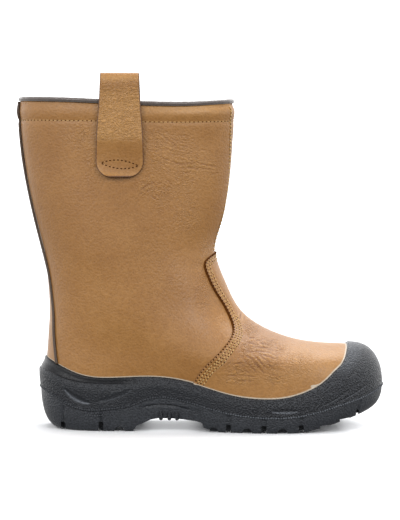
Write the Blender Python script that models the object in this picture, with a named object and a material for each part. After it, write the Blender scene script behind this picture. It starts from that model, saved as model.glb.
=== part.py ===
# Pull-on winter work boot, right foot: a tall leather leg and vamp on a moulded sole with a scuff cap.
# The boot stands on the floor with its toe along +X and its outer side along -Y.
# Shapes are worked out in millimetres: x runs forward from the back of the heel, z up from the floor.

import math

import bmesh
import bpy
import numpy as np

MM = 0.001

# Driving sizes of the boot
SOLE_LENGTH = 305.0
COLLAR_BACK_X = -19.4
MIDDLE_X = (SOLE_LENGTH + COLLAR_BACK_X) / 2
MIDDLE_Y = -0.4
GAP = 0.3

# Facets: columns round the form, and rings down the leg, the foot and the part inside the sole
COLUMNS = 56
LEG_STEPS = 6
FOOT_STEPS = 9
TUCKED_STEPS = 5

# Helper solids reach past the boot's sides and below the floor
CUTTER_REACH = 90.0
BELOW = -4.0

# Leather
WALL = 2.4
VAMP_THICK = 1.6
LASTING_MARGIN = 11.0
CUFF_HEIGHT = 17.0
CUFF_PUFF = 1.3
CUFF_PINCH = 0.5
CUFF_SHARES = (0.0, 0.28, 0.55, 0.8, 1.0)

# Sole
HEEL_ROLL_X = 26.0
TOE_SPRING_X = 228.0
HEEL_ROLL = 3.2
TOE_SPRING = 17.5
TOE_SPRING_BEND = 1.25
PARTING_STEP = 0.8
HEEL_LEDGE = 1.0
HEEL_LEDGE_END_X = 100.0
RIM_THICK = 2.4
SHELF_OUT = 0.8
SHELF_DROP = 5.0
CORE_INSET = 1.0
TREAD_TUCK = 2.2

# Insole, binding, piping and pull loops
INSOLE_THICK = 4.0
INSOLE_CLEAR = 2.4
BINDING_WIDE = 5.0
BINDING_TALL = 4.0
BINDING_PROFILE = ((1.0, 0.45), (0.45, 1.0), (-0.45, 1.0), (-1.0, 0.45), (-0.75, 0.0), (0.75, 0.0))
PIPING_WIDE = 2.6
PIPING_TALL = 1.8
PIPING_SEAT = 0.5
PIPING_STEPS = 18
PIPING_PROFILE = ((-1, 0.0), (1, 0.0), (1, 0.55), (0.5, 1.0), (-0.5, 1.0), (-1, 0.55))
LOOP_X = {"outer": 73.1, "inner": 70.8}
LOOP_SIDE = {"outer": -1, "inner": 1}
LOOP_THICK = 2.0
LOOP_COLLAR_Z = 286.0
LOOP_TOP_Z = 313.0
LOOP_END_Z = 221.0
LOOP_INNER_END_Z = 255.0
LOOP_WIDTHS = {221: 42.4, 256: 40.8, 290: 35.7, 313: 34.0}
LOOP_CORNER = 11.0
LOOP_OUT = 3.0
LOOP_IN = -5.5

# Sections of the form, from the collar down to the tread. Each is a ring round the leg or the foot.
# front and back are its two ends in the side view. Its plan is set by the radius at the back, the half
# widths at the heel, waist, ball and toe stations along it, and the radius at the front.
# foot says how much of the last's sideways curve it takes, dip how far its sides sink with the insole,
# and tread how far they follow the floor.
SECTION_COLUMNS = (
    "front_x front_z back_x back_z back_r heel waist ball toe front_r foot dip tread"
).split()
SECTIONS = {
    "collar":      (172.2, 285.6, -16.6, 288.6, 16.0, 33.0, 41.5, 38.5, 28.0, 15.5, 0.00, 0.22, 0.0),
    "upper leg":   (172.2, 256.0, -14.9, 256.0, 16.5, 33.5, 42.0, 38.5, 28.0, 15.5, 0.00, 0.00, 0.0),
    "middle leg":  (168.3, 216.0, -9.2, 216.0, 17.5, 34.5, 43.0, 39.0, 28.0, 15.5, 0.00, 0.00, 0.0),
    "lower leg":   (161.9, 182.0, -2.0, 182.0, 19.0, 35.8, 43.5, 39.3, 28.3, 15.5, 0.05, 0.00, 0.0),
    "throat":      (155.5, 155.0, 4.2, 155.0, 21.5, 36.5, 44.0, 39.6, 28.6, 16.0, 0.10, 0.00, 0.0),
    "high instep": (164.0, 127.8, 8.4, 128.0, 25.0, 36.5, 44.0, 40.0, 29.0, 15.0, 0.20, 0.00, 0.0),
    "instep":      (178.1, 101.9, 9.4, 103.0, 28.0, 36.5, 43.5, 40.5, 29.5, 14.0, 0.30, 0.00, 0.0),
    "low instep":  (197.6, 87.1, 8.2, 86.5, 30.0, 36.5, 42.5, 41.5, 31.0, 12.5, 0.50, 0.03, 0.0),
    "high vamp":   (224.5, 76.6, 7.3, 72.5, 31.0, 36.5, 41.5, 43.5, 33.0, 11.5, 0.70, 0.10, 0.0),
    "low vamp":    (251.8, 72.1, 6.4, 61.0, 31.5, 36.8, 41.0, 46.0, 36.0, 12.0, 0.85, 0.22, 0.0),
    "cap edge":    (274.5, 70.7, 6.3, 51.5, 32.0, 36.8, 40.5, 48.0, 39.5, 14.0, 1.00, 0.36, 0.0),
    "toe top":     (288.6, 66.4, 6.6, 44.5, 32.0, 36.5, 40.0, 49.3, 42.5, 25.0, 1.00, 0.52, 0.0),
    "toe nose":    (296.6, 56.5, 7.2, 39.0, 32.0, 36.0, 39.0, 50.0, 43.8, 33.0, 1.00, 0.68, 0.0),
    "toe front":   (299.8, 44.0, 8.0, 33.5, 31.5, 35.2, 37.8, 50.2, 44.0, 36.0, 1.00, 0.84, 0.0),
    "feather":     (299.8, 31.5, 9.2, 27.5, 31.0, 34.2, 36.5, 49.8, 43.6, 36.0, 1.00, 1.00, 0.0),
    "tread":       (291.0, TOE_SPRING, 16.0, HEEL_ROLL, 29.0, 33.2, 35.0, 49.0, 42.8, 35.0, 1.00, 0.00, 1.0),
}
STATIONS = {"back_r": 0.0, "heel": 0.2, "waist": 0.45, "ball": 0.68, "toe": 0.86, "front_r": 1.0}
NAMES = list(SECTIONS)

# Lines of the side view: height along the boot of the sole's top edge, of the joint between midsole
# and outsole, of the insole, and of the midsole's underside inside the outsole's rim
SOLE_EDGE = {
    -10: 68.0, 7: 62.2, 18: 57.4, 39: 49.3, 66: 47.0, 101: 48.1, 128: 45.0, 151: 38.5, 170: 33.2,
    193: 30.3, 216: 31.0, 239: 37.8, 252: 45.6, 262: 54.5, 270: 63.5, 275: 76.0,
}
PARTING = {
    -6: 39.0, 1: 36.5, 16: 29.6, 28: 22.3, 39: 18.8, 49: 17.8, 62: 19.1, 84: 23.1, 96: 28.2, 112: 30.2,
    134: 25.7, 158: 19.0, 181: 15.1, 206: 13.7, 228: 14.9, 251: 19.6, 275: 26.0, 300: 33.8, 310: 39.0,
}
INSOLE_LINE = {0: 28.0, 50: 27.0, 100: 23.5, 150: 17.5, 190: 15.0, 222: 15.0, 262: 20.0, 306: 33.0}
CORE_LINE = {
    0: 15.5, 60: 14.0, 100: 17.0, 130: 15.5, 160: 10.3, 200: 8.6, 230: 9.4, 255: 13.0, 280: 20.0, 306: 27.0,
}
LAST_CURVE = {-25: 0.0, 35: 0.0, 115: -3.2, 185: -2.2, 250: 1.8, 310: 6.5}

# Sole thickness outside the upper, at the lip and at full depth, along the boot
LIP = {-5: 1.2, 60: 1.7, 125: 2.1, 150: 3.0, 250: 3.7, 300: 4.3}
SOLE_SIDE = {-5: 6.4, 60: 6.0, 110: 5.0, 200: 5.2, 300: 5.0}

# Edge of the vamp in the side view, from the front of the leg down to the sole
VAMP_EDGE = {
    "tip":        (158.5, 156.6),
    "top corner": (147.2, 148.6),
    "neck":       (146.8, 143.6),
    "upper run":  (149.3, 135.7),
    "middle run": (155.2, 123.0),
    "lower run":  (164.6, 107.8),
    "shoulder":   (169.8, 97.3),
    "elbow":      (171.8, 90.4),
    "turn":       (171.0, 84.7),
    "upper cut":  (165.6, 76.9),
    "middle cut": (155.1, 65.4),
    "lower cut":  (146.9, 57.4),
    "foot":       (136.2, 41.0),
}

# Half width of the strip between the two back pipings, as seen from behind, by height
BACK_STRIP = {
    45: 26.5, 58: 24.0, 73: 21.0, 86: 18.8, 102: 16.3, 115: 14.2, 136: 11.8, 156: 7.8, 195: 4.2, 295: 3.0,
}

# Underside: the arch in the side view, and the channels between the lugs
ARCH = (
    (84.4, BELOW), (85.1, 1.4), (87.7, 5.1), (92.2, 6.8), (100.0, 10.7), (107.0, 11.9), (118.6, 11.8),
    (128.4, 11.0), (140.0, 9.5), (145.0, 7.9), (146.0, 4.0), (150.8, 2.1), (153.8, BELOW),
)
ARCH_RIBS = (109.0, 116.4, 123.0)
RIB_WIDE = 2.6
RIB_DROP = 1.6
CHANNEL_WIDE = 4.0
CHANNEL_TOPS = {22.6: 7.0, 56.3: 8.0, 167.8: 6.0, 198.4: 5.6, 230.9: 6.0, 280.7: 17.4}
NOTCH_RADIUS = 2.6
NOTCHES = (72.4, 154.5, 183.9, 214.6, 247.3, 265.1)

# Colour as linear red, green, blue, with roughness
FINISHES = {
    "tan_leather":    ((0.376, 0.182, 0.068), 0.52),
    "black_moulding": ((0.028, 0.031, 0.036), 0.62),
    "dark_trim":      ((0.050, 0.030, 0.020), 0.55),
    "insole_felt":    ((0.120, 0.115, 0.110), 0.90),
}


def smooth_curve(knots, values):
    """Function through a table's rows: a natural cubic, held at its end values outside them."""
    knots = np.asarray(knots, float)
    values = np.asarray(values, float)
    gaps = np.diff(knots)
    slopes = np.diff(values, axis=0) / gaps[:, None]
    count = len(knots)
    system = np.eye(count)
    right = np.zeros_like(values)
    for i in range(1, count - 1):
        system[i, i - 1 : i + 2] = gaps[i - 1], 2 * (gaps[i - 1] + gaps[i]), gaps[i]
        right[i] = 6 * (slopes[i] - slopes[i - 1])
    bend = np.linalg.solve(system, right)

    def at(place):
        place = np.clip(np.asarray(place, float), knots[0], knots[-1])
        i = np.clip(np.searchsorted(knots, place) - 1, 0, count - 2)
        gap = gaps[i]
        before = (knots[i + 1] - place) / gap
        after = 1 - before
        straight = before[..., None] * values[i] + after[..., None] * values[i + 1]
        curved = (before**3 - before)[..., None] * bend[i] + (after**3 - after)[..., None] * bend[i + 1]
        return straight + curved * (gap**2)[..., None] / 6

    return at


def smooth_line(table):
    """Height, width or thickness along the boot, from a table of place to value."""
    curve = smooth_curve(list(table), [[value] for value in table.values()])
    return lambda place: curve(place)[..., 0]


def smooth_step(low, high, place):
    share = np.clip((np.asarray(place, float) - low) / (high - low), 0, 1)
    return share * share * (3 - 2 * share)


sole_edge = smooth_line(SOLE_EDGE)
parting = smooth_line(PARTING)
insole_line = smooth_line(INSOLE_LINE)
core_line = smooth_line(CORE_LINE)
last_curve = smooth_line(LAST_CURVE)
lip_thickness = smooth_line(LIP)
side_thickness = smooth_line(SOLE_SIDE)
back_strip = smooth_line(BACK_STRIP)


def section_knots():
    """Distance down the form to each section: the mean of the runs along its front and its back."""
    table = np.array(list(SECTIONS.values()))
    fronts = np.linalg.norm(np.diff(table[:, 0:2], axis=0), axis=1)
    backs = np.linalg.norm(np.diff(table[:, 2:4], axis=0), axis=1)
    return np.concatenate([[0.0], np.cumsum((fronts + backs) / 2)])


KNOTS = section_knots()
DOWN = dict(zip(NAMES, KNOTS))
section_at = smooth_curve(KNOTS, list(SECTIONS.values()))
station_share = smooth_curve(list(STATIONS.values()), np.eye(len(STATIONS)))


def tread_line(x):
    """Height of the tread: flat under heel and forefoot, rolled up behind and sprung at the toe."""
    behind = np.clip((HEEL_ROLL_X - x) / (HEEL_ROLL_X - SECTIONS["tread"][2]), 0, None)
    ahead = np.clip((x - TOE_SPRING_X) / (SECTIONS["tread"][0] - TOE_SPRING_X), 0, None)
    return HEEL_ROLL * behind**2 + TOE_SPRING * ahead**TOE_SPRING_BEND


def dip_below_chord(line, section, along):
    """How far a line of the side view lies from the straight run between the section's two ends."""
    front_x, back_x = SECTIONS[section][0], SECTIONS[section][2]
    x = back_x + (front_x - back_x) * along
    ends = line(np.array([back_x, front_x]))
    return line(x) - (ends[0] + (ends[1] - ends[0]) * along)


def form(down, turn):
    """Point of the form at a distance down it and a turn round it: 0 at the toe, pi at the heel."""
    down, turn = np.broadcast_arrays(np.asarray(down, float), np.asarray(turn, float))
    row = dict(zip(SECTION_COLUMNS, np.moveaxis(section_at(down), -1, 0)))
    along = (1 + np.cos(turn)) / 2
    length = row["front_x"] - row["back_x"]
    breadths = []
    for station, share in STATIONS.items():
        if station in ("back_r", "front_r"):
            breadths.append(np.sqrt(row[station] * length / 2))
        else:
            breadths.append(row[station] / (2 * math.sqrt(share * (1 - share))))
    breadth = (np.stack(breadths, axis=-1) * station_share(along)).sum(axis=-1)
    x = row["back_x"] + length * along
    y = breadth * np.sin(turn) + row["foot"] * last_curve(x)
    z = row["back_z"] + (row["front_z"] - row["back_z"]) * along
    z = z + row["dip"] * dip_below_chord(insole_line, "feather", along)
    z = z + row["tread"] * dip_below_chord(tread_line, "tread", along)
    return np.stack([x, y, z], axis=-1)


def outward(down, turn):
    """Unit normal of the form, pointing out of the boot."""
    step = 0.4
    slant = 0.004
    lengthwise = form(np.add(down, step), turn) - form(np.subtract(down, step), turn)
    around = form(down, np.add(turn, slant)) - form(down, np.subtract(turn, slant))
    normal = np.cross(lengthwise, around)
    return normal / np.linalg.norm(normal, axis=-1, keepdims=True)


def skin(down, turn, offset):
    """Point at an offset from the form, outward where it is positive."""
    down, turn, offset = np.broadcast_arrays(down, turn, offset)
    return form(down, turn) + outward(down, turn) * np.asarray(offset, float)[..., None]


def level(normal):
    """The normal turned level, for pieces that keep their height."""
    flat = normal * np.array([1.0, 1.0, 0.0])
    return flat / np.linalg.norm(flat, axis=-1, keepdims=True)


def crossing(line, turn, offset):
    """Distance down the form at which it passes below a line of the side view, for each turn."""
    down = np.linspace(DOWN["throat"], DOWN["tread"], 600)
    points = skin(down[:, None], turn[None, :], offset)
    above = points[..., 2] - line(points[..., 0])
    first = np.argmax(above < 0, axis=0)
    columns = np.arange(len(turn))
    upper, lower = above[first - 1, columns], above[first, columns]
    return down[first - 1] + (down[first] - down[first - 1]) * upper / (upper - lower)


TURNS = 2 * math.pi * np.arange(COLUMNS) / COLUMNS
EDGE_DOWN = crossing(sole_edge, TURNS, VAMP_THICK)
PARTING_DOWN = crossing(parting, TURNS, SOLE_SIDE[200])


def cuff_puff(down):
    """The leather of the cuff stands out between the binding and the row of stitches below it."""
    share = np.clip(np.asarray(down, float) / CUFF_HEIGHT, 0, 1)
    pinch = np.exp(-(((np.asarray(down, float) - CUFF_HEIGHT) / 2.5) ** 2))
    return CUFF_PUFF * np.sin(math.pi * share) ** 2 - CUFF_PINCH * pinch


def finish(name):
    """Material of one of the finishes, made once."""
    material = bpy.data.materials.get(name)
    if material is None:
        colour, roughness = FINISHES[name]
        material = bpy.data.materials.new(name)
        material.use_nodes = True
        shader = material.node_tree.nodes["Principled BSDF"]
        shader.inputs["Base Color"].default_value = (*colour, 1.0)
        shader.inputs["Roughness"].default_value = roughness
        material.diffuse_color = (*colour, 1.0)
    return material


def add_object(name, points, faces, finish_name):
    """One closed solid, from points in millimetres, with its faces turned outward."""
    mesh = bpy.data.meshes.new(name)
    placed = (np.asarray(points, float).reshape(-1, 3) - (MIDDLE_X, MIDDLE_Y, 0.0)) * MM
    mesh.from_pydata(placed.tolist(), [], faces)
    work = bmesh.new()
    work.from_mesh(mesh)
    bmesh.ops.recalc_face_normals(work, faces=work.faces)
    work.to_mesh(mesh)
    work.free()
    mesh.shade_smooth()
    mesh.set_sharp_from_angle(angle=math.radians(35))
    mesh.materials.append(finish(finish_name))
    made = bpy.data.objects.new(name, mesh)
    bpy.context.scene.collection.objects.link(made)
    return made


def bridged(rings, closed=True):
    """Triangles between rings of points that follow each other, joined last to first where closed.

    Each four-cornered patch is split the same way whichever ring comes first, and alike on both sides
    of the boot, so that neighbouring skins keep their distance.
    """
    count, columns = len(rings), len(rings[0])
    heights = [float(np.mean(ring[:, 2])) for ring in rings]
    triangles = []
    for i in range(count if closed else count - 1):
        after = (i + 1) % count
        rising = heights[after] > heights[i]
        for j in range(columns):
            beside = (j + 1) % columns
            here, here_beside = i * columns + j, i * columns + beside
            there, there_beside = after * columns + j, after * columns + beside
            if rising == (j < columns // 2):
                triangles += [(here, there, there_beside), (here, there_beside, here_beside)]
            else:
                triangles += [(here, there, here_beside), (there, there_beside, here_beside)]
    return triangles


def laddered(ring, columns):
    """Faces that close a ring from its inner side straight across to its outer side."""
    first = ring * columns
    half = columns // 2
    faces = [(first, first + 1, first + columns - 1)]
    for j in range(1, half - 1):
        faces.append((first + j, first + j + 1, first + columns - j - 1, first + columns - j))
    faces.append((first + half - 1, first + half, first + half + 1))
    return faces


def add_tube(name, rings, finish_name):
    """A wall that turns back on itself: its rings run down the outside and up the inside."""
    return add_object(name, np.stack(rings), bridged(rings), finish_name)


def add_cup(name, rings, finish_name):
    """A solid whose first and last rings are closed across."""
    columns = len(rings[0])
    faces = bridged(rings, closed=False) + laddered(0, columns) + laddered(len(rings) - 1, columns)
    return add_object(name, np.stack(rings), faces, finish_name)


def add_strip(name, rings, finish_name):
    """A long solid whose outline runs through its rings, closed by a flat face at each end."""
    sides = len(rings[0])
    last = (len(rings) - 1) * sides
    faces = bridged(rings, closed=False) + [tuple(range(sides)), tuple(range(last, last + sides))]
    return add_object(name, rings, faces, finish_name)


def prism(outline):
    """Points and faces of a solid that spans the boot, with an outline in the side view."""
    count = len(outline)
    points = [(x, y, z) for y in (-CUTTER_REACH, CUTTER_REACH) for x, z in outline]
    faces = [tuple(range(count)), tuple(range(2 * count - 1, count - 1, -1))]
    faces += [(i, (i + 1) % count, count + (i + 1) % count, count + i) for i in range(count)]
    return points, faces


def add_cutter(name, prisms):
    """Helper solid of one or more prisms, kept out of the model itself."""
    points, faces = [], []
    for prism_points, prism_faces in prisms:
        faces += [tuple(corner + len(points) for corner in face) for face in prism_faces]
        points += prism_points
    cutter = add_object(name, points, faces, "dark_trim")
    cutter.hide_render = True
    cutter.display_type = "WIRE"
    return cutter


def add_boolean(made, cutter, operation):
    change = made.modifiers.new(cutter.name, "BOOLEAN")
    change.operation = operation
    change.object = cutter
    return made


def bed_ring(inward, rise):
    """Ring inside the feather edge, at a height over the line of the insole."""
    edge = form(DOWN["feather"], TURNS)
    ring = edge - level(outward(DOWN["feather"], TURNS)) * inward
    ring[:, 2] += insole_line(ring[:, 0]) - insole_line(edge[:, 0]) + rise
    return ring


def leg_rings(steps):
    """Places down the form from the foot of the cuff to the throat."""
    return [np.full(COLUMNS, down) for down in np.linspace(1.3 * CUFF_HEIGHT, DOWN["throat"], steps + 1)]


def foot_rings(steps):
    """Places down the form from the throat to the sole's top edge, which differs round the boot."""
    return [DOWN["throat"] + (EDGE_DOWN - DOWN["throat"]) * k / steps for k in range(1, steps + 1)]


def tucked_rings(steps):
    """Places down the form from the sole's top edge to the feather edge, behind the sole's side."""
    return [EDGE_DOWN + (DOWN["feather"] - EDGE_DOWN) * k / steps for k in range(1, steps + 1)]


def make_upper():
    """Leather wall from the collar to the feather edge, turned under the foot by the lasting margin."""
    cuff = [np.full(COLUMNS, CUFF_HEIGHT * share) for share in CUFF_SHARES]
    outside = cuff + leg_rings(LEG_STEPS) + foot_rings(FOOT_STEPS) + tucked_rings(TUCKED_STEPS)
    inside = cuff[:1] + leg_rings(LEG_STEPS)[::2] + foot_rings(FOOT_STEPS // 2)
    inside += tucked_rings(TUCKED_STEPS)[1:-1]
    rings = [skin(down, TURNS, cuff_puff(down)) for down in outside]
    rings.append(bed_ring(LASTING_MARGIN, 0.0))
    rings.append(bed_ring(LASTING_MARGIN, WALL))
    rings.append(bed_ring(1.8 * WALL, WALL))
    rings += [skin(down, TURNS, -WALL) for down in inside[::-1]]
    return add_tube("upper", rings, "tan_leather")


def make_vamp():
    """Second layer of leather over the foot, from the edge on the instep to the sole."""
    downs = leg_rings(LEG_STEPS)[-2:] + foot_rings(FOOT_STEPS)
    downs[-1] = downs[-1] - GAP
    rings = [skin(down, TURNS, GAP + VAMP_THICK) for down in downs]
    rings += [skin(down, TURNS, GAP) for down in downs[::-1]]
    vamp = add_tube("vamp", rings, "tan_leather")
    edge = list(VAMP_EDGE.values())
    outline = edge + [(edge[-1][0], 0.0), (SOLE_LENGTH + 20, 0.0), (SOLE_LENGTH + 20, edge[0][1])]
    cutter = add_cutter("vamp_outline", [prism(outline)])
    return add_boolean(vamp, cutter, "INTERSECT")


def sole_offset(share, x):
    """Thickness of the midsole's side, from its lip at share 0 to the parting line at share 1."""
    lip, full = lip_thickness(x), side_thickness(x)
    heel = 1 - smooth_step(HEEL_LEDGE_END_X - 30, HEEL_LEDGE_END_X, x)
    ledge = HEEL_LEDGE * heel * (1 - smooth_step(0.40, 0.46, share)) * smooth_step(0.05, 0.3, share)
    return lip + (full - lip) * smooth_step(-0.05, 0.5, share) - ledge


def side_ring(share):
    """Ring of the midsole's outer side at a share of the way from its lip to the parting line."""
    down = EDGE_DOWN + (PARTING_DOWN - GAP - EDGE_DOWN) * share
    return skin(down, TURNS, sole_offset(share, form(down, TURNS)[:, 0]))


def core_ring(inward, rise):
    """Ring inside the rim where midsole and outsole meet, over the plan of the tread."""
    ring = form(DOWN["tread"], TURNS) - level(outward(DOWN["tread"], TURNS)) * inward
    ring[:, 2] = core_line(ring[:, 0]) + rise
    return ring


def rim_ring(inward, rise):
    """Ring at the parting line, inside the outsole's outer face by a distance."""
    x = form(PARTING_DOWN, TURNS)[:, 0]
    ring = skin(PARTING_DOWN, TURNS, side_thickness(x) - PARTING_STEP - inward)
    ring[:, 2] += rise
    return ring


def joint_rings(gap):
    """Joint of midsole and outsole inside the rim: down its face, in on a shelf and across the core."""
    rim = rim_ring(RIM_THICK + gap, gap)
    shelf = bed_ring(gap - SHELF_OUT, gap - SHELF_DROP)
    shelf[:, 2] = np.minimum(shelf[:, 2], rim[:, 2])
    return [rim, shelf, core_ring(CORE_INSET + gap, gap)]


def make_midsole():
    """Moulded cup round the upper's lower edge, with the scuff cap over the toe."""
    rings = [bed_ring(LASTING_MARGIN, -GAP), bed_ring(-GAP, -GAP)]
    rings += [skin(down, TURNS, GAP) for down in tucked_rings(TUCKED_STEPS)[-2::-1] + [EDGE_DOWN]]
    rings += [side_ring(share) for share in (0.0, 0.1, 0.25, 0.4, 0.46, 0.62, 0.8, 1.0)]
    rings += joint_rings(GAP)
    return add_cup("midsole", rings, "black_moulding")


def outsole_ring(share):
    """Ring of the outsole's outer side: upright at the parting line, rounded under to the tread."""
    top = rim_ring(0.0, 0.0)
    tread = form(DOWN["tread"], TURNS)
    thickness = side_thickness(tread[:, 0]) - PARTING_STEP - TREAD_TUCK
    tread = tread + level(outward(DOWN["tread"], TURNS)) * thickness[:, None]
    tucked = 1 - math.sqrt(1 - share**2)
    return top + (tread - top) * np.array([tucked, tucked, share])


def tread_cutters():
    """Arch with its ribs, channels between the lugs and the small notches beside them."""
    roof = list(ARCH)
    for rib in ARCH_RIBS:
        place = sum(1 for corner in roof if corner[0] < rib)
        roof[place:place] = rib_outline(rib)
    prisms = [prism(roof)]
    for x, top in CHANNEL_TOPS.items():
        low, high = x - CHANNEL_WIDE / 2, x + CHANNEL_WIDE / 2
        prisms.append(prism([(low, BELOW), (low, top), (high, top), (high, BELOW)]))
    for x in NOTCHES:
        turns = np.linspace(0, math.pi, 7)
        arc = [(x - NOTCH_RADIUS * math.cos(t), tread_line(x) + NOTCH_RADIUS * math.sin(t)) for t in turns]
        prisms.append(prism([(arc[0][0], BELOW)] + arc + [(arc[-1][0], BELOW)]))
    return prisms


def rib_outline(x):
    """Corners of one rib that hangs from the roof of the arch."""
    roof = float(np.interp(x, [p[0] for p in ARCH], [p[1] for p in ARCH]))
    low, high = x - RIB_WIDE / 2, x + RIB_WIDE / 2
    return [(low, roof), (low, roof - RIB_DROP), (high, roof - RIB_DROP), (high, roof)]


def make_outsole():
    """Moulded tread with a rim that rises round the midsole."""
    rings = joint_rings(0.0)[::-1]
    rings += [outsole_ring(share) for share in (0.0, 0.45, 0.75, 0.92, 1.0)]
    outsole = add_cup("outsole", rings, "black_moulding")
    return add_boolean(outsole, add_cutter("tread_cutter", tread_cutters()), "DIFFERENCE")


def make_insole():
    """Footbed on the lasting margin."""
    inward = WALL + INSOLE_CLEAR
    bottom = WALL + GAP
    rings = [
        bed_ring(inward + 1.5, bottom + INSOLE_THICK),
        bed_ring(inward, bottom + INSOLE_THICK - 1.0),
        bed_ring(inward + 1.0, bottom),
    ]
    return add_cup("insole", rings, "insole_felt")


def make_collar_binding():
    """Rolled strip along the collar's top edge."""
    middle = skin(0.0, TURNS, -WALL / 2)
    normal = level(outward(0.0, TURNS))
    rings = []
    for across, rise in BINDING_PROFILE:
        ring = middle + normal * (across * BINDING_WIDE / 2)
        ring[:, 2] += GAP + BINDING_TALL * rise
        rings.append(ring)
    return add_tube("collar_binding", rings, "dark_trim")


def back_turn(down, side):
    """Turn of the back piping on one side, where the strip behind it has its half width."""
    turns = math.pi - side * np.linspace(0.02, 1.6, 400)
    points = form(down, turns)
    wanted = back_strip(points[0, 2])
    return float(np.interp(wanted, side * points[:, 1], turns))


def make_piping(name, side):
    """Bead in the seam between one side of the leg and the strip up its back."""
    lowest = DOWN["cap edge"]
    for _ in range(4):
        lowest = crossing(sole_edge, np.array([back_turn(lowest, side)]), VAMP_THICK)[0]
    below_cuff = np.linspace(1.3 * CUFF_HEIGHT, lowest - 1.5, PIPING_STEPS)
    steps = np.concatenate([[0.5], np.array(CUFF_SHARES[1:]) * CUFF_HEIGHT, below_cuff])
    turns = np.array([back_turn(down, side) for down in steps])
    slant = 0.02
    beside = form(steps, turns + slant) - form(steps, turns - slant)
    beside = beside / np.linalg.norm(beside, axis=-1, keepdims=True)
    lines = []
    for across, rise in PIPING_PROFILE:
        lift = cuff_puff(steps) + PIPING_SEAT + PIPING_TALL * rise
        point = form(steps, turns) + outward(steps, turns) * lift[:, None]
        lines.append(point + beside * (across * PIPING_WIDE / 2))
    return add_strip(name, np.stack(lines, axis=1), "dark_trim")


def leg_half_width(x, z):
    """Half width of the leg at a place in the side view."""
    names = NAMES[: NAMES.index("throat") + 1]
    heights = [(SECTIONS[n][1] + SECTIONS[n][3]) / 2 for n in names]
    down = np.interp(z, heights[::-1], [DOWN[n] for n in names[::-1]])
    row = section_at(down)
    along = np.clip((x - row[..., 2]) / (row[..., 0] - row[..., 2]), 0, 1)
    return form(down, np.arccos(2 * along - 1))[..., 1]


def loop_path():
    """Run of a pull loop in its cross section: offset out of the leg and height, from its outer end."""
    legs_apart = LOOP_OUT - LOOP_IN
    fold_z = LOOP_TOP_Z - LOOP_THICK / 2 - legs_apart / 2
    seat = 0.45 + LOOP_THICK / 2
    path = [(seat, LOOP_END_Z + rise) for rise in (0.0, 2.0, 5.0, LOOP_CORNER, 30.0)]
    path += [(seat, LOOP_COLLAR_Z - CUFF_HEIGHT - 2), (seat + CUFF_PUFF, LOOP_COLLAR_Z - CUFF_HEIGHT + 5)]
    path += [(LOOP_OUT, LOOP_COLLAR_Z - 4), (LOOP_OUT, LOOP_COLLAR_Z + 8)]
    for k in range(9):
        bend = math.pi * k / 8
        middle = (LOOP_OUT + LOOP_IN) / 2
        path.append((middle + legs_apart / 2 * math.cos(bend), fold_z + legs_apart / 2 * math.sin(bend)))
    path += [(LOOP_IN, LOOP_COLLAR_Z + 8), (LOOP_IN, LOOP_COLLAR_Z - 2)]
    path += [(-WALL - seat, LOOP_COLLAR_Z - 14), (-WALL - seat, LOOP_INNER_END_Z)]
    return np.array(path)


def loop_half_width(z, inner):
    """Half width of the strap: wide at its rounded outer end, narrow at the fold and inside."""
    wide = np.interp(z, list(LOOP_WIDTHS), list(LOOP_WIDTHS.values())) / 2
    wide = np.where(inner, LOOP_WIDTHS[313] / 2, wide)
    short = np.clip(LOOP_CORNER - (z - LOOP_END_Z), 0, LOOP_CORNER)
    return wide - np.where(inner, 0.0, LOOP_CORNER - np.sqrt(LOOP_CORNER**2 - short**2))


def make_pull_loop(which):
    """Leather strap folded over the collar, with one leg outside the boot and one inside."""
    path = loop_path()
    run = np.gradient(path, axis=0)
    run = run / np.linalg.norm(run, axis=1, keepdims=True)
    inner = path[:, 0] < (LOOP_OUT + LOOP_IN) / 2
    half = loop_half_width(path[:, 1], inner)
    across = np.array([-1.0, -0.5, 0.0, 0.5, 1.0])
    faces_of_strap = []
    for face, order in ((1, across), (-1, across[::-1])):
        place = path + face * LOOP_THICK / 2 * np.stack([run[:, 1], -run[:, 0]], axis=1)
        for share in order:
            x = LOOP_X[which] + share * half
            y = leg_half_width(x, np.minimum(path[:, 1], LOOP_COLLAR_Z)) + place[:, 0]
            faces_of_strap.append(np.stack([x, LOOP_SIDE[which] * y, place[:, 1]], axis=1))
    return add_strip("pull_loop_" + which, np.stack(faces_of_strap, axis=1), "tan_leather")


def main():
    for old in list(bpy.data.objects):
        bpy.data.objects.remove(old)
    boot = bpy.data.objects.new("boot", None)
    bpy.context.scene.collection.objects.link(boot)
    pieces = [
        make_outsole(),
        make_midsole(),
        make_insole(),
        make_upper(),
        make_vamp(),
        make_collar_binding(),
        make_piping("piping_outer", -1),
        make_piping("piping_inner", 1),
        make_pull_loop("outer"),
        make_pull_loop("inner"),
    ]
    for piece in pieces:
        piece.parent = boot


main()
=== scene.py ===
# Looks of the winter work boot: tan leather leg and vamp on a moulded sole with a scuff cap.
# Shapes are worked out in millimetres, x forward from the back of the heel and z up from the floor.
import math
from functools import partial

import bmesh
import bpy
import numpy as np
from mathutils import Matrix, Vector, kdtree


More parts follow.
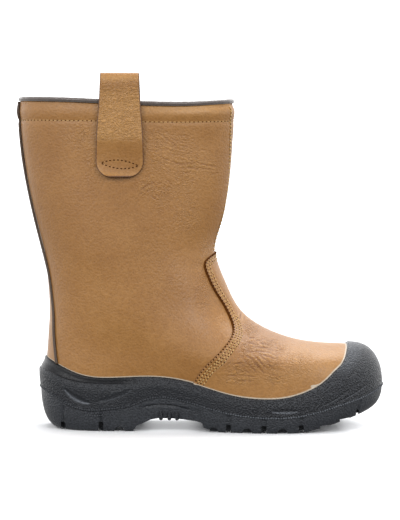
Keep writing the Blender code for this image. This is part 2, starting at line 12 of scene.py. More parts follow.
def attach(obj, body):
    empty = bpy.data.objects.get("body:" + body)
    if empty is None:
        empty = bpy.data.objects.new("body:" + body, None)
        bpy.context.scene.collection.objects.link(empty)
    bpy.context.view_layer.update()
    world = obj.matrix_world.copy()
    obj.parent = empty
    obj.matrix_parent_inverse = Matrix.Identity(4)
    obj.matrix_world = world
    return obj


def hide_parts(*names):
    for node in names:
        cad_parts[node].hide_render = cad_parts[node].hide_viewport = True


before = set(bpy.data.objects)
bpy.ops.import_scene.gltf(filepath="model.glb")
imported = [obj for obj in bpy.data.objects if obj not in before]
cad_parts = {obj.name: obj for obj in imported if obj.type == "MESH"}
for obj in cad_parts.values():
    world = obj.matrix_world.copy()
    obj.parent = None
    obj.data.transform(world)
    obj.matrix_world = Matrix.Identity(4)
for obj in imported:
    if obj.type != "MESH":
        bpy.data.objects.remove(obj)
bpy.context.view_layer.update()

print("frame loaded:", len(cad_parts), "nodes")
fullTurn = 2 * math.pi


# The last and its lines

bootForm = {
    "middle": (142.8, -0.4, 0.0),       # of the pattern, where the frame has its origin
    "gap": 0.3, "wall": 2.4, "vampThick": 1.6, "lastingMargin": 11.0, "partingOut": 5.2,
    "heelRoll": {"x": 26.0, "rise": 3.2}, "toeSpring": {"x": 228.0, "rise": 17.5, "bend": 1.25},
    "stations": {"backR": 0.0, "heel": 0.2, "waist": 0.45, "ball": 0.68, "toe": 0.86, "frontR": 1.0},
    "columns": "frontX frontZ backX backZ backR heel waist ball toe frontR foot dip tread".split(),
    "sections": {
        "collar":     (172.2, 286.7, -16.6, 288.6, 16.0, 33.0, 41.5, 38.5, 28.0, 15.5, 0, 0.22, 0),
        "upperLeg":   (172.2, 256.0, -14.9, 256.0, 16.5, 33.5, 42.0, 38.5, 28.0, 15.5, 0, 0, 0),
        "middleLeg":  (168.3, 216.0, -9.2, 216.0, 17.5, 34.5, 43.0, 39.0, 28.0, 15.5, 0, 0, 0),
        "lowerLeg":   (161.9, 182.0, -2.0, 182.0, 19.0, 35.8, 43.5, 39.3, 28.3, 15.5, 0.05, 0, 0),
        "throat":     (155.5, 155.0, 4.2, 155.0, 21.5, 36.5, 44.0, 39.6, 28.6, 16.0, 0.10, 0, 0),
        "highInstep": (164.0, 127.8, 8.4, 128.0, 25.0, 36.5, 44.0, 40.0, 29.0, 15.0, 0.20, 0, 0),
        "instep":     (178.1, 101.9, 9.4, 103.0, 28.0, 36.5, 43.5, 40.5, 29.5, 14.0, 0.30, 0, 0),
        "lowInstep":  (197.6, 87.1, 8.2, 86.5, 30.0, 36.5, 42.5, 41.5, 31.0, 12.5, 0.50, 0.03, 0),
        "highVamp":   (224.5, 76.6, 7.3, 72.5, 31.0, 36.5, 41.5, 43.5, 33.0, 11.5, 0.70, 0.10, 0),
        "lowVamp":    (251.8, 72.1, 6.4, 61.0, 31.5, 36.8, 41.0, 46.0, 36.0, 12.0, 0.85, 0.22, 0),
        "capEdge":    (274.5, 70.7, 6.3, 51.5, 32.0, 36.8, 40.5, 48.0, 39.5, 14.0, 1, 0.36, 0),
        "toeTop":     (288.6, 66.4, 6.6, 44.5, 32.0, 36.5, 40.0, 49.3, 42.5, 25.0, 1, 0.52, 0),
        "toeNose":    (296.6, 56.5, 7.2, 39.0, 32.0, 36.0, 39.0, 50.0, 43.8, 33.0, 1, 0.68, 0),
        "toeFront":   (299.8, 44.0, 8.0, 33.5, 31.5, 35.2, 37.8, 50.2, 44.0, 36.0, 1, 0.84, 0),
        "feather":    (299.8, 31.5, 9.2, 27.5, 31.0, 34.2, 36.5, 49.8, 43.6, 36.0, 1, 1, 0),
        "tread":      (291.0, 17.5, 16.0, 3.2, 29.0, 33.2, 35.0, 49.0, 42.8, 35.0, 1, 0, 1),
    },
    # lines of the side view, x to height
    "soleEdge": {-10: 68.0, 7: 62.2, 18: 57.4, 39: 49.3, 66: 47.0, 101: 48.1, 128: 45.0, 151: 38.5, 170: 33.2,
                 193: 30.3, 216: 31.0, 239: 37.8, 252: 45.6, 262: 54.5, 270: 63.5, 275: 76.0},
    "parting": {-6: 39.0, 1: 36.5, 16: 29.6, 28: 22.3, 39: 18.8, 49: 17.8, 62: 19.1, 84: 23.1, 96: 28.2, 112: 30.2,
                134: 25.7, 158: 19.0, 181: 15.1, 206: 13.7, 228: 14.9, 251: 19.6, 275: 26.0, 300: 33.8, 310: 39.0},
    "insole": {0: 28.0, 50: 27.0, 100: 23.5, 150: 17.5, 190: 15.0, 222: 15.0, 262: 20.0, 306: 33.0},
    "core": {0: 15.5, 60: 14.0, 100: 17.0, 130: 15.5, 160: 10.3, 200: 8.6, 230: 9.4, 255: 13.0, 280: 20.0,
             306: 27.0},
    # x to the last's bend sideways, and to the sole's thickness at its lip and its side
    "lastCurve": {-25: 0.0, 35: 0.0, 115: -3.2, 185: -2.2, 250: 1.8, 310: 6.5},
    "lip": {-5: 1.2, 60: 1.7, 125: 2.1, 150: 3.0, 250: 3.7, 300: 5.0},
    "soleSide": {-5: 6.9, 60: 6.0, 110: 5.0, 200: 5.2, 300: 6.0},
}


def smoothCurve(knots, values):         # natural cubic through the rows of a table, held at its ends
    knots, values = np.asarray(knots, float), np.asarray(values, float)
    gaps = np.diff(knots)
    slopes = np.diff(values, axis=0) / gaps[:, None]
    count = len(knots)
    system, right = np.eye(count), np.zeros_like(values)
    for i in range(1, count - 1):
        system[i, i - 1:i + 2] = gaps[i - 1], 2 * (gaps[i - 1] + gaps[i]), gaps[i]
        right[i] = 6 * (slopes[i] - slopes[i - 1])
    bend = np.linalg.solve(system, right)

    def at(place):
        place = np.clip(np.asarray(place, float), knots[0], knots[-1])
        i = np.clip(np.searchsorted(knots, place) - 1, 0, count - 2)
        before = (knots[i + 1] - place) / gaps[i]
        after = 1 - before
        straight = before[..., None] * values[i] + after[..., None] * values[i + 1]
        curved = (before**3 - before)[..., None] * bend[i] + (after**3 - after)[..., None] * bend[i + 1]
        return straight + curved * (gaps[i]**2)[..., None] / 6
    return at


def smoothLine(table):
    curve = smoothCurve(list(table), [[v] for v in table.values()])
    return lambda place: curve(place)[..., 0]


def smoothStep(low, high, place):
    share = np.clip((np.asarray(place, float) - low) / (high - low), 0, 1)
    return share * share * (3 - 2 * share)


def bump(place, middle, width):         # soft bell, 1 at its middle
    return np.exp(-((np.asarray(place, float) - middle) / width) ** 2)


def unit(vectors):
    return vectors / np.linalg.norm(vectors, axis=-1, keepdims=True)


def runLength(path):                    # distance along a path to each of its points
    return np.concatenate([[0], np.cumsum(np.linalg.norm(np.diff(path, axis=0), axis=1))])


def pathAt(path, at, steps):
    return np.stack([np.interp(at, steps, path[:, k]) for k in range(3)], axis=-1)


def spread(low, high, density, count):  # places from low to high, closer together where the density is high
    fine = np.linspace(low, high, 2000)
    grown = np.concatenate([[0], np.cumsum((density(fine)[1:] + density(fine)[:-1]) / 2)])
    return np.interp(np.linspace(0, 1, count), grown / grown[-1], fine)


soleEdge, parting, insoleLine, coreLine, lastCurve, lipThick, sideThick = (
    smoothLine(bootForm[n]) for n in "soleEdge parting insole core lastCurve lip soleSide".split())
gap, wall, vampThick = bootForm["gap"], bootForm["wall"], bootForm["vampThick"]
sections = np.array(list(bootForm["sections"].values()))
runs = [np.linalg.norm(np.diff(sections[:, k:k + 2], axis=0), axis=1) for k in (0, 2)]
knots = np.concatenate([[0.0], np.cumsum((runs[0] + runs[1]) / 2)])
downTo = dict(zip(bootForm["sections"], knots))        # distance down the form to each section
sectionAt = smoothCurve(knots, sections)
stationShare = smoothCurve(list(bootForm["stations"].values()), np.eye(6))


def treadLine(x):
    heel, toe, tread = bootForm["heelRoll"], bootForm["toeSpring"], bootForm["sections"]["tread"]
    behind = np.clip((heel["x"] - x) / (heel["x"] - tread[2]), 0, None)
    ahead = np.clip((x - toe["x"]) / (tread[0] - toe["x"]), 0, None)
    return heel["rise"] * behind**2 + toe["rise"] * ahead ** toe["bend"]


def dipBelowChord(line, section, along):
    frontX, backX = bootForm["sections"][section][0], bootForm["sections"][section][2]
    ends = line(np.array([backX, frontX]))
    return line(backX + (frontX - backX) * along) - (ends[0] + (ends[1] - ends[0]) * along)


def form(down, turn):                   # point of the last: turn 0 at the toe, pi at the heel, outer side past pi
    down, turn = np.broadcast_arrays(np.asarray(down, float), np.asarray(turn, float))
    row = dict(zip(bootForm["columns"], np.moveaxis(sectionAt(down), -1, 0)))
    along = (1 + np.cos(turn)) / 2
    length = row["frontX"] - row["backX"]
    breadths = [row[name] / (2 * math.sqrt(share * (1 - share))) if 0 < share < 1
                else np.sqrt(row[name] * length / 2) for name, share in bootForm["stations"].items()]
    breadth = (np.stack(breadths, axis=-1) * stationShare(along)).sum(axis=-1)
    x = row["backX"] + length * along
    y = breadth * np.sin(turn) + row["foot"] * lastCurve(x)
    z = row["backZ"] + (row["frontZ"] - row["backZ"]) * along
    z = z + row["dip"] * dipBelowChord(insoleLine, "feather", along)
    z = z + row["tread"] * dipBelowChord(treadLine, "tread", along)
    return np.stack([x, y, z], axis=-1)


def outward(down, turn):
    lengthwise = form(np.add(down, 0.4), turn) - form(np.subtract(down, 0.4), turn)
    around = form(down, np.add(turn, 0.004)) - form(down, np.subtract(turn, 0.004))
    return unit(np.cross(lengthwise, around))


def skin(down, turn, offset):
    down, turn, offset = np.broadcast_arrays(down, turn, offset)
    return form(down, turn) + outward(down, turn) * np.asarray(offset, float)[..., None]


def level(normal):
    return unit(normal * np.array([1.0, 1.0, 0.0]))


def evenTurns(count):
    return np.linspace(0, fullTurn, count, endpoint=False)


def crossing(line, offset):             # distance down the form to a line of the side view, as a function of turn
    turns = np.linspace(0, fullTurn, 361)
    down = np.linspace(downTo["throat"], downTo["tread"], 500)
    points = skin(down[:, None], turns[None, :], offset)
    above = points[..., 2] - line(points[..., 0])
    first = np.argmax(above < 0, axis=0)
    cols = np.arange(len(turns))
    upper, lower = above[first - 1, cols], above[first, cols]
    found = down[first - 1] + (down[first] - down[first - 1]) * upper / (upper - lower)
    return lambda turn: np.interp(np.mod(turn, fullTurn), turns, found)


edgeDown = crossing(soleEdge, vampThick)
partingDown = crossing(parting, bootForm["partingOut"])


def bedRing(turns, inward, rise):       # ring over the insole's line, in from the last's edge and up
    edge = form(downTo["feather"], turns)
    ring = edge - level(outward(downTo["feather"], turns)) * inward
    ring[:, 2] += insoleLine(ring[:, 0]) - insoleLine(edge[:, 0]) + rise
    return ring


# Meshes, creases and threads

def addToScene(name, data):
    made = bpy.data.objects.new(name, data)
    bpy.context.scene.collection.objects.link(made)
    return made


def ringFaces(rings, columns, ends="open"):
    faces = []
    for i in range(rings if ends == "joined" else rings - 1):
        here, there = i * columns, (i + 1) % rings * columns
        for j in range(columns):
            k = (j + 1) % columns
            faces.append((here + j, there + j, there + k, here + k))
    for first in (0, (rings - 1) * columns):
        half, last = first + columns // 2, first + columns
        if ends == "capped":
            faces.append(tuple(range(first, last)))
        if ends == "laddered":          # straight across from the inner side to the outer side
            faces.append((first, first + 1, last - 1))
            faces += [(first + j, first + j + 1, last - j - 1, last - j) for j in range(1, columns // 2 - 1)]
            faces.append((half - 1, half, half + 1))
    return faces


def setFields(mesh, fields):            # numbers at the points, for the materials
    for field, values in fields.items():
        values = np.broadcast_to(np.asarray(values, np.float32).reshape(-1), len(mesh.vertices))
        mesh.attributes.new(field, "FLOAT", "POINT").data.foreach_set("value", values.copy())


def addPiece(name, points, faces, materials, indices=None, fields=None, sharp=None):
    points = np.asarray(points, float)
    if isinstance(faces, str):          # how the rings of points end
        faces = ringFaces(*points.shape[:2], faces)
    mesh = bpy.data.meshes.new(name)
    placed = (points.reshape(-1, 3) - bootForm["middle"]) * 0.001   # to metres
    mesh.from_pydata(placed.tolist(), [], [tuple(int(i) for i in f) for f in faces])
    for material in materials:
        mesh.materials.append(material)
    if indices is not None:
        mesh.polygons.foreach_set("material_index", np.asarray(indices, np.int32))
    work = bmesh.new()
    work.from_mesh(mesh)
    bmesh.ops.recalc_face_normals(work, faces=work.faces)
    work.to_mesh(mesh)
    work.free()
    setFields(mesh, fields or {})
    mesh.shade_smooth()
    if sharp:
        mesh.set_sharp_from_angle(angle=math.radians(sharp))
    made = addToScene(name, mesh)
    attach(made, "root")
    return made


def patch(x, z, midX, midZ, wideX, wideZ):   # soft spot of the side view
    return np.exp(-((x - midX) / wideX) ** 2 - ((z - midZ) / wideZ) ** 2)


def alongLine(x, z, x0, z0, x1, z1, bow):   # share along a bowed line of the side view, and distance across it
    run = math.hypot(x1 - x0, z1 - z0)
    along = ((x - x0) * (x1 - x0) + (z - z0) * (z1 - z0)) / run**2
    return along, ((z - z0) * (x1 - x0) - (x - x0) * (z1 - z0)) / run - bow * 4 * along * (1 - along)


def creaseHeight(x, z, creases):        # soft troughs with a ridge on either side
    height = np.zeros_like(x)
    for x0, z0, x1, z1, bow, width, depth in creases:
        along, across = alongLine(x, z, x0, z0, x1, z1, bow)
        near = (along > -0.1) & (along < 1.1)
        along, across = along[near], across[near]
        taper = smoothStep(-0.08, 0.35, along) * smoothStep(1.08, 0.65, along)
        ridges = 0.5 * bump(across, 1.9 * width, width) + 0.5 * bump(across, -1.9 * width, width)
        height[near] += depth * taper * (ridges - bump(across, 0, width))
    return height


def scatteredCreases(areas, seed):      # fine creases strewn about the middle of each area
    dice = np.random.default_rng(seed)
    creases = []
    for x, z, wideX, wideZ, angle, fan, length, width, depth, count in areas:
        for _ in range(count):
            midX, midZ = x + wideX * dice.uniform(-1, 1), z + wideZ * dice.uniform(-1, 1)
            slant = math.radians(angle + fan * dice.uniform(-1, 1))
            half = length * dice.uniform(0.6, 1.3) / 2
            stepX, stepZ = half * math.cos(slant), half * math.sin(slant)
            bow = length * dice.uniform(-0.09, 0.09)
            creases.append((midX - stepX, midZ - stepZ, midX + stepX, midZ + stepZ, bow,
                            width * dice.uniform(0.8, 1.2), depth * dice.uniform(0.6, 1.2)))
    return creases


def areaShade(x, z, areas):             # how far a place lies in the creased areas, 0 to 1
    return np.max([patch(x, z, row[0], row[1], 1.1 * row[2], 1.1 * row[3]) for row in areas], axis=0)


def paintedLightAndShade(x, z, lightAndShadePatches):             # painted light and shade: patches drawn paler or darker: middle x z, reach in x and z, amount
    return sum(amount * patch(x, z, *spot) for *spot, amount in lightAndShadePatches)


def addBody(parts, rings, lowTip=None, highTip=None, index=0):   # closed through rings, with flat or pointed ends
    points, faces, indices = parts
    start, (count, sides) = len(points), rings.shape[:2]
    points.extend(rings.reshape(-1, 3))
    made = [tuple(start + i for i in face) for face in ringFaces(count, sides)]
    for first, tip in ((start, lowTip), (start + (count - 1) * sides, highTip)):
        if tip is None:
            made.append(tuple(range(first, first + sides)))
        else:
            made += [(first + i, first + (i + 1) % sides, len(points)) for i in range(sides)]
            points.append(tip)
    faces.extend(made)
    indices.extend([index] * len(made))


def addStitches(name, paths, size, materials):   # rice-grain stitches along paths of points and normals
    parts = [], [], []
    dice = np.random.default_rng(5)
    rings = np.array([-1.0, -0.86, -0.5, 0.0, 0.5, 0.86, 1.0])[:, None, None]
    thick = size["thick"] / 2 * np.sqrt(np.maximum(1 - np.abs(rings) ** size["blunt"], 0.02))
    around, holeAround = evenTurns(6)[:, None], evenTurns(8)[:, None]
    for path, normal in paths:
        steps = runLength(path)
        count = max(int(steps[-1] / size["pitch"]), 1)
        pitch = steps[-1] / count
        for middle in (np.arange(count) + 0.5) * pitch:
            before, centre, after = pathAt(path, middle + np.array([-0.4, 0.0, 0.4]), steps)
            up, run = unit(pathAt(normal, middle, steps)), unit(after - before)
            side = np.cross(up, run)
            stray = size.get("stray", 0.0) * dice.uniform(-1, 1, 3)   # hand of the machinist
            centre = centre + run * stray[0] + side * stray[1]
            run = run + side * stray[2]
            spine = centre + run * (rings * size["length"] / 2) + up * (size["proud"] - size["sink"] * rings**2)
            addBody(parts, spine + side * (thick * np.cos(around)) + up * (0.8 * thick * np.sin(around)))
            if size["hole"]:            # needle hole between this stitch and the next, a low dark button standing in for the shade in the hole
                eye = centre + run * (pitch / 2)
                ring = eye + size["hole"] / 2 * (side * np.cos(holeAround) + run * np.sin(holeAround))
                addBody(parts, ring[None], eye + up * size["holeLift"], eye - up * 0.3, index=1)
    points, faces, indices = parts
    piece = addPiece(name, points, faces, materials, indices=indices)


# Materials

def linear(text):                       # sRGB hex to linear colour
    parts = [int(text[i:i + 2], 16) / 255 for i in (1, 3, 5)]
    return [p / 12.92 if p <= 0.04045 else ((p + 0.055) / 1.055) ** 2.4 for p in parts] + [1.0]


def addNode(owner, kind, settings=None, out=0):   # or sets one that is there; sockets are linked, the rest is set
    tree = owner.node_tree
    node = tree.nodes.new("ShaderNode" + kind) if isinstance(kind, str) else kind
    for key, value in (settings or {}).items():
        if isinstance(value, bpy.types.NodeSocket):
            tree.links.new(value, node.inputs[key])
        elif key == "range":            # from low and high, to low and high
            for name, number in zip(("From Min", "From Max", "To Min", "To Max"), value):
                node.inputs[name].default_value = number
        elif key == "ramp":             # place to colour
            stops = node.color_ramp.elements
            while len(stops) < len(value):
                stops.new(0.5)
            for stop, (at, colour) in zip(stops, value.items()):
                stop.position, stop.color = at, colour
        elif isinstance(key, str) and hasattr(node, key):
            setattr(node, key, value)
        else:
            node.inputs[key].default_value = value
    return node.outputs[out]


def newMaterial(name):                  # with its own addNode and its shader
    material = bpy.data.materials.new(name)
    material.use_nodes = True
    return material, partial(addNode, material), material.node_tree.nodes["Principled BSDF"]


mixColours = {"data_type": "RGBA"}      # 0 is the share, 6 and 7 the colours, and 2 comes out
timesColours = {"data_type": "RGBA", "blend_type": "MULTIPLY"}


def tanLeather(name):
    # Full-grain cattle leather, drum-dyed tan and lightly waxed: an even warm colour with faint clouds, fine grain
    # with a soft whitish shine where it faces the light, and dark at cut edges. Its creases are drawn paler on the
    # ridges and darker in the troughs, partly rubbed wear and dye and partly painted highlight and painted shade,
    # and patches of painted light and shade are drawn paler or darker.
    finish = {
        "dye": {0.34: "#95652d", 0.5: "#9c6c33", 0.66: "#a4743b"}, "cloud": 46.0, "fleck": 6.0,
        "creaseReach": (-0.32, 0.32),
        "creaseShading": {0: (0.68, 0.59, 0.45, 1), 0.5: (1, 1, 1, 1), 1: (1.28, 1.42, 1.68, 1)},
        # roughed margin beside the sole, and dark cut edges (along the vamp's upper run widened as painted shade):
        # field, where full and gone, share, colour
        "margins": [("overSole", 0.2, 0.8, 0.85, "#cfc4b2"), ("fromEdge", 0.25, 0.75, 0.92, "#56300f")],
        "grain": 2.2, "pore": 1.2,      # real pebbles are under 1 mm, drawn coarser so that they show
        # two sets of fine drawn-out lines that cross where the leather has been bent: slant and spacing; in the
        # creased areas the lines are drawn darker and the leather between them paler, painted shade and painted
        # highlight
        "wrinkles": [(32, 2.7), (-30, 3.0)], "wrinkleShading": {0: (0.88, 0.86, 0.81, 1), 1: (1.14, 1.15, 1.16, 1)},
        "roughness": (0.39, 0.47),
    }
    material, add, shader = newMaterial(name)
    place = add("TexCoord", out="Object")   # in metres
    cloud, fleck = (add("TexNoise", {"Vector": place, "Scale": 1000 / finish[n], "Detail": 3.0, "Roughness": r})
                    for n, r in (("cloud", 0.5), ("fleck", 0.6)))
    clouds = add("Mix", {0: 0.4, 2: cloud, 3: fleck})
    tone = add("ValToRGB", {"Fac": clouds, "ramp": {at: linear(dye) for at, dye in finish["dye"].items()}})
    # ridges of the creases drawn paler and their troughs darker: partly rubbed wear and dye, partly painted
    # highlight and painted shade; the crease field also brings the painted patches of light and shade
    crease, worn = (add("Attribute", {"attribute_name": n}, "Fac") for n in ("crease", "worn"))
    lift = add("MapRange", {"Value": crease, "range": finish["creaseReach"]})
    creaseShading = add("ValToRGB", {"Fac": lift, "ramp": finish["creaseShading"]})
    tone = add("Mix", {**timesColours, 0: 1.0, 6: tone, 7: creaseShading}, 2)
    for field, full, gone, most, colour in finish["margins"]:
        near = add("Attribute", {"attribute_name": field}, "Fac")
        share = add("MapRange", {"Value": near, "range": (full, gone, most, 0.0)})
        tone = add("Mix", {**mixColours, 0: share, 6: tone, 7: linear(colour)}, 2)
    pebble = add("TexVoronoi", {"feature": "SMOOTH_F1", "Vector": place, "Scale": 1000 / finish["grain"],
                                "Smoothness": 0.35})
    pore = add("TexNoise", {"Vector": place, "Scale": 1000 / finish["pore"], "Detail": 2.0})
    grain = add("Mix", {0: 0.5, 2: pebble, 3: pore})
    speckle = add("MapRange", {"Value": grain, "range": (0.3, 0.6, 0.93, 1.07)})
    tone = add("Mix", {**timesColours, 0: 1.0, 6: tone, 7: speckle}, 2)
    lines = []
    for slant, apart in finish["wrinkles"]:
        turned = add("Mapping", {"Vector": place, "Rotation": (0, math.radians(slant), 0),
                                 "Scale": (0.5, 1.0, 1.0)})
        ripple = add("TexNoise", {"Vector": turned, "Scale": 1000 / apart, "Detail": 2.0, "Roughness": 0.5,
                                  "Distortion": 0.4})
        swing = add("Math", {"operation": "SUBTRACT", 0: ripple, 1: 0.5})
        lines.append(add("Math", {"operation": "ABSOLUTE", 0: swing}))
    nearest = add("Math", {"operation": "MINIMUM", 0: lines[0], 1: lines[1]})
    wrinkle = add("MapRange", {"Value": nearest, "range": (0.0, 0.10)})
    # wrinkle lines drawn darker and the leather between them paler: painted shade and painted highlight in the
    # creased areas
    wrinkleShaded = add("ValToRGB", {"Fac": wrinkle, "ramp": finish["wrinkleShading"]})
    tone = add("Mix", {**timesColours, 0: worn, 6: tone, 7: wrinkleShaded}, 2)
    depth = add("Math", {"operation": "MULTIPLY", 0: wrinkle, 1: worn})
    grained = add("Bump", {"Strength": 0.6, "Distance": 0.0006, "Height": grain})
    wrinkled = add("Bump", {"Strength": 0.9, "Distance": 0.0005, "Height": depth, "Normal": grained})
    gloss = add("MapRange", {"Value": fleck, "range": (0.3, 0.7, *finish["roughness"])})
    add(shader, {"IOR": 1.5, "Specular IOR Level": 0.66, "Sheen Weight": 0.05,
                 "Base Color": tone, "Roughness": gloss, "Normal": wrinkled})
    return material


def blackMoulding(name):
    # Polyurethane moulded against a spark-eroded tool: blue-black and half matt, stippled all over with worn grey
    # tips, with polished bands that catch the light. The grit is about 0.6 mm, drawn at 1.4 mm so that it shows.
    finish = {"black": "#08090d", "tip": "#666a71", "stipple": 1.4, "fine": 0.8}
    material, add, shader = newMaterial(name)
    place = add("TexCoord", out="Object")   # in metres
    grit = add("TexVoronoi", {"feature": "SMOOTH_F1", "Vector": place, "Scale": 1000 / finish["stipple"],
                              "Smoothness": 0.4})
    fine = add("TexNoise", {"Vector": place, "Scale": 1000 / finish["fine"], "Detail": 2.0})
    both = add("Mix", {0: 0.35, 2: grit, 3: fine})
    # this field draws paler grey: partly wear, partly painted highlight in the scoops' streaks, on the cap beside
    # the leather and along the beads
    polish, rubAndShine = (add("Attribute", {"attribute_name": n}, "Fac") for n in ("polish", "tipWear"))
    unpolished = add("Math", {"operation": "SUBTRACT", 0: 1.0, 1: polish})
    depth = add("Math", {"operation": "MULTIPLY", 0: both, 1: unpolished})
    tips = add("MapRange", {"Value": depth, "range": (0.30, 0.60, 0.02, 0.24)})
    speckle = add("MapRange", {"Value": both, "range": (0.25, 0.60, 0.5, 1.4)})
    paleSpeckle = add("Math", {"operation": "MULTIPLY", 0: rubAndShine, 1: speckle})
    paling = add("Math", {"operation": "MAXIMUM", 0: tips, 1: paleSpeckle})
    tone = add("Mix", {**mixColours, 0: paling, 6: linear(finish["black"]), 7: linear(finish["tip"])}, 2)
    stipple = add("Bump", {"Strength": 1.0, "Distance": 0.0014, "Height": depth})
    gloss = add("MapRange", {"Value": polish, "range": (0.0, 1.0, 0.33, 0.38)})
    add(shader, {"IOR": 1.5, "Specular IOR Level": 0.32,
                 "Base Color": tone, "Roughness": gloss, "Normal": stipple})
    return material


def darkTrim(name, dark, light, rib, roughness, relief, sheen):
    # Vinyl binding and piping, calendered and dyed dark brown: faint ribs across, and a gloss that picks up
    # the backdrop.
    material, add, shader = newMaterial(name)
    place = add("TexCoord", out="Object")   # in metres
    run = add("Attribute", {"attribute_name": "run"}, "Fac")
    turns = add("Math", {"operation": "MULTIPLY", 0: run, 1: fullTurn / rib})
    ribs = add("Math", {"operation": "SINE", 0: turns})
    fuzz = add("TexNoise", {"Vector": place, "Scale": 1000 / 2.5, "Detail": 3.0})
    height = add("Math", {"operation": "MULTIPLY_ADD", 0: ribs, 1: 0.3, 2: fuzz})
    tone = add("Mix", {**mixColours, 0: fuzz, 6: linear(dark), 7: linear(light)}, 2)
    weave = add("Bump", {"Strength": relief, "Distance": 0.0004, "Height": height})
    add(shader, {"IOR": 1.5, "Roughness": roughness, "Sheen Weight": sheen, "Base Color": tone, "Normal": weave})
    return material


def sewingThread(name, dark, light, roughness):
    # Bonded polyester thread, three-ply: small bright strands with a soft shine.
    material, add, shader = newMaterial(name)
    place = add("TexCoord", out="Object")   # in metres
    ply = add("TexNoise", {"Vector": place, "Scale": 1000 / 1.4, "Detail": 2.0})
    tone = add("Mix", {**mixColours, 0: ply, 6: linear(dark), 7: linear(light)}, 2)
    add(shader, {"IOR": 1.53, "Roughness": roughness, "Specular IOR Level": 0.05, "Base Color": tone})
    return material


def woolPile(name, dark, light, tuft):
    # Knitted pile and felted fibre: soft tufts with no gloss and a little sheen at grazing angles.
    material, add, shader = newMaterial(name)
    place = add("TexCoord", out="Object")   # in metres
    tufts = add("TexNoise", {"Vector": place, "Scale": 1000 / tuft, "Detail": 5.0, "Roughness": 0.65})
    tone = add("Mix", {**mixColours, 0: tufts, 6: linear(dark), 7: linear(light)}, 2)
    fluff = add("Bump", {"Strength": 0.8, "Distance": 0.0015, "Height": tufts})
    add(shader, {"IOR": 1.5, "Roughness": 0.95, "Sheen Weight": 0.25, "Base Color": tone, "Normal": fluff})
    return material


legHide = tanLeather("waxed_tan_leather")
soleCompound = blackMoulding("stippled_black_polyurethane")
tape = darkTrim("brown_vinyl_binding", "#463a33", "#5a4f49", 1.6, 0.26, 0.1, 1.0)
vinyl = darkTrim("brown_vinyl_piping", "#3d2c20", "#54412f", 3.0, 0.42, 0.35, 0.0)
goldThread = sewingThread("gold_polyester_thread", "#a67c3a", "#ecd09a", 0.7)
brownThread = sewingThread("brown_polyester_thread", "#3c2008", "#553311", 0.8)
needleHole = sewingThread("shaded_needle_hole", "#341a05", "#4a2a0b", 0.9)
dyedEdge = sewingThread("dyed_cut_edge", "#4a270a", "#653c18", 0.9)     # raw edge of the hide, dark and matt
fleece = woolPile("grey_pile_lining", "#77716a", "#b4aea5", 2.6)
felt = woolPile("grey_needle_felt", "#4b4846", "#6b6763", 1.6)
print("materials mixed")


# Leather of the leg and foot

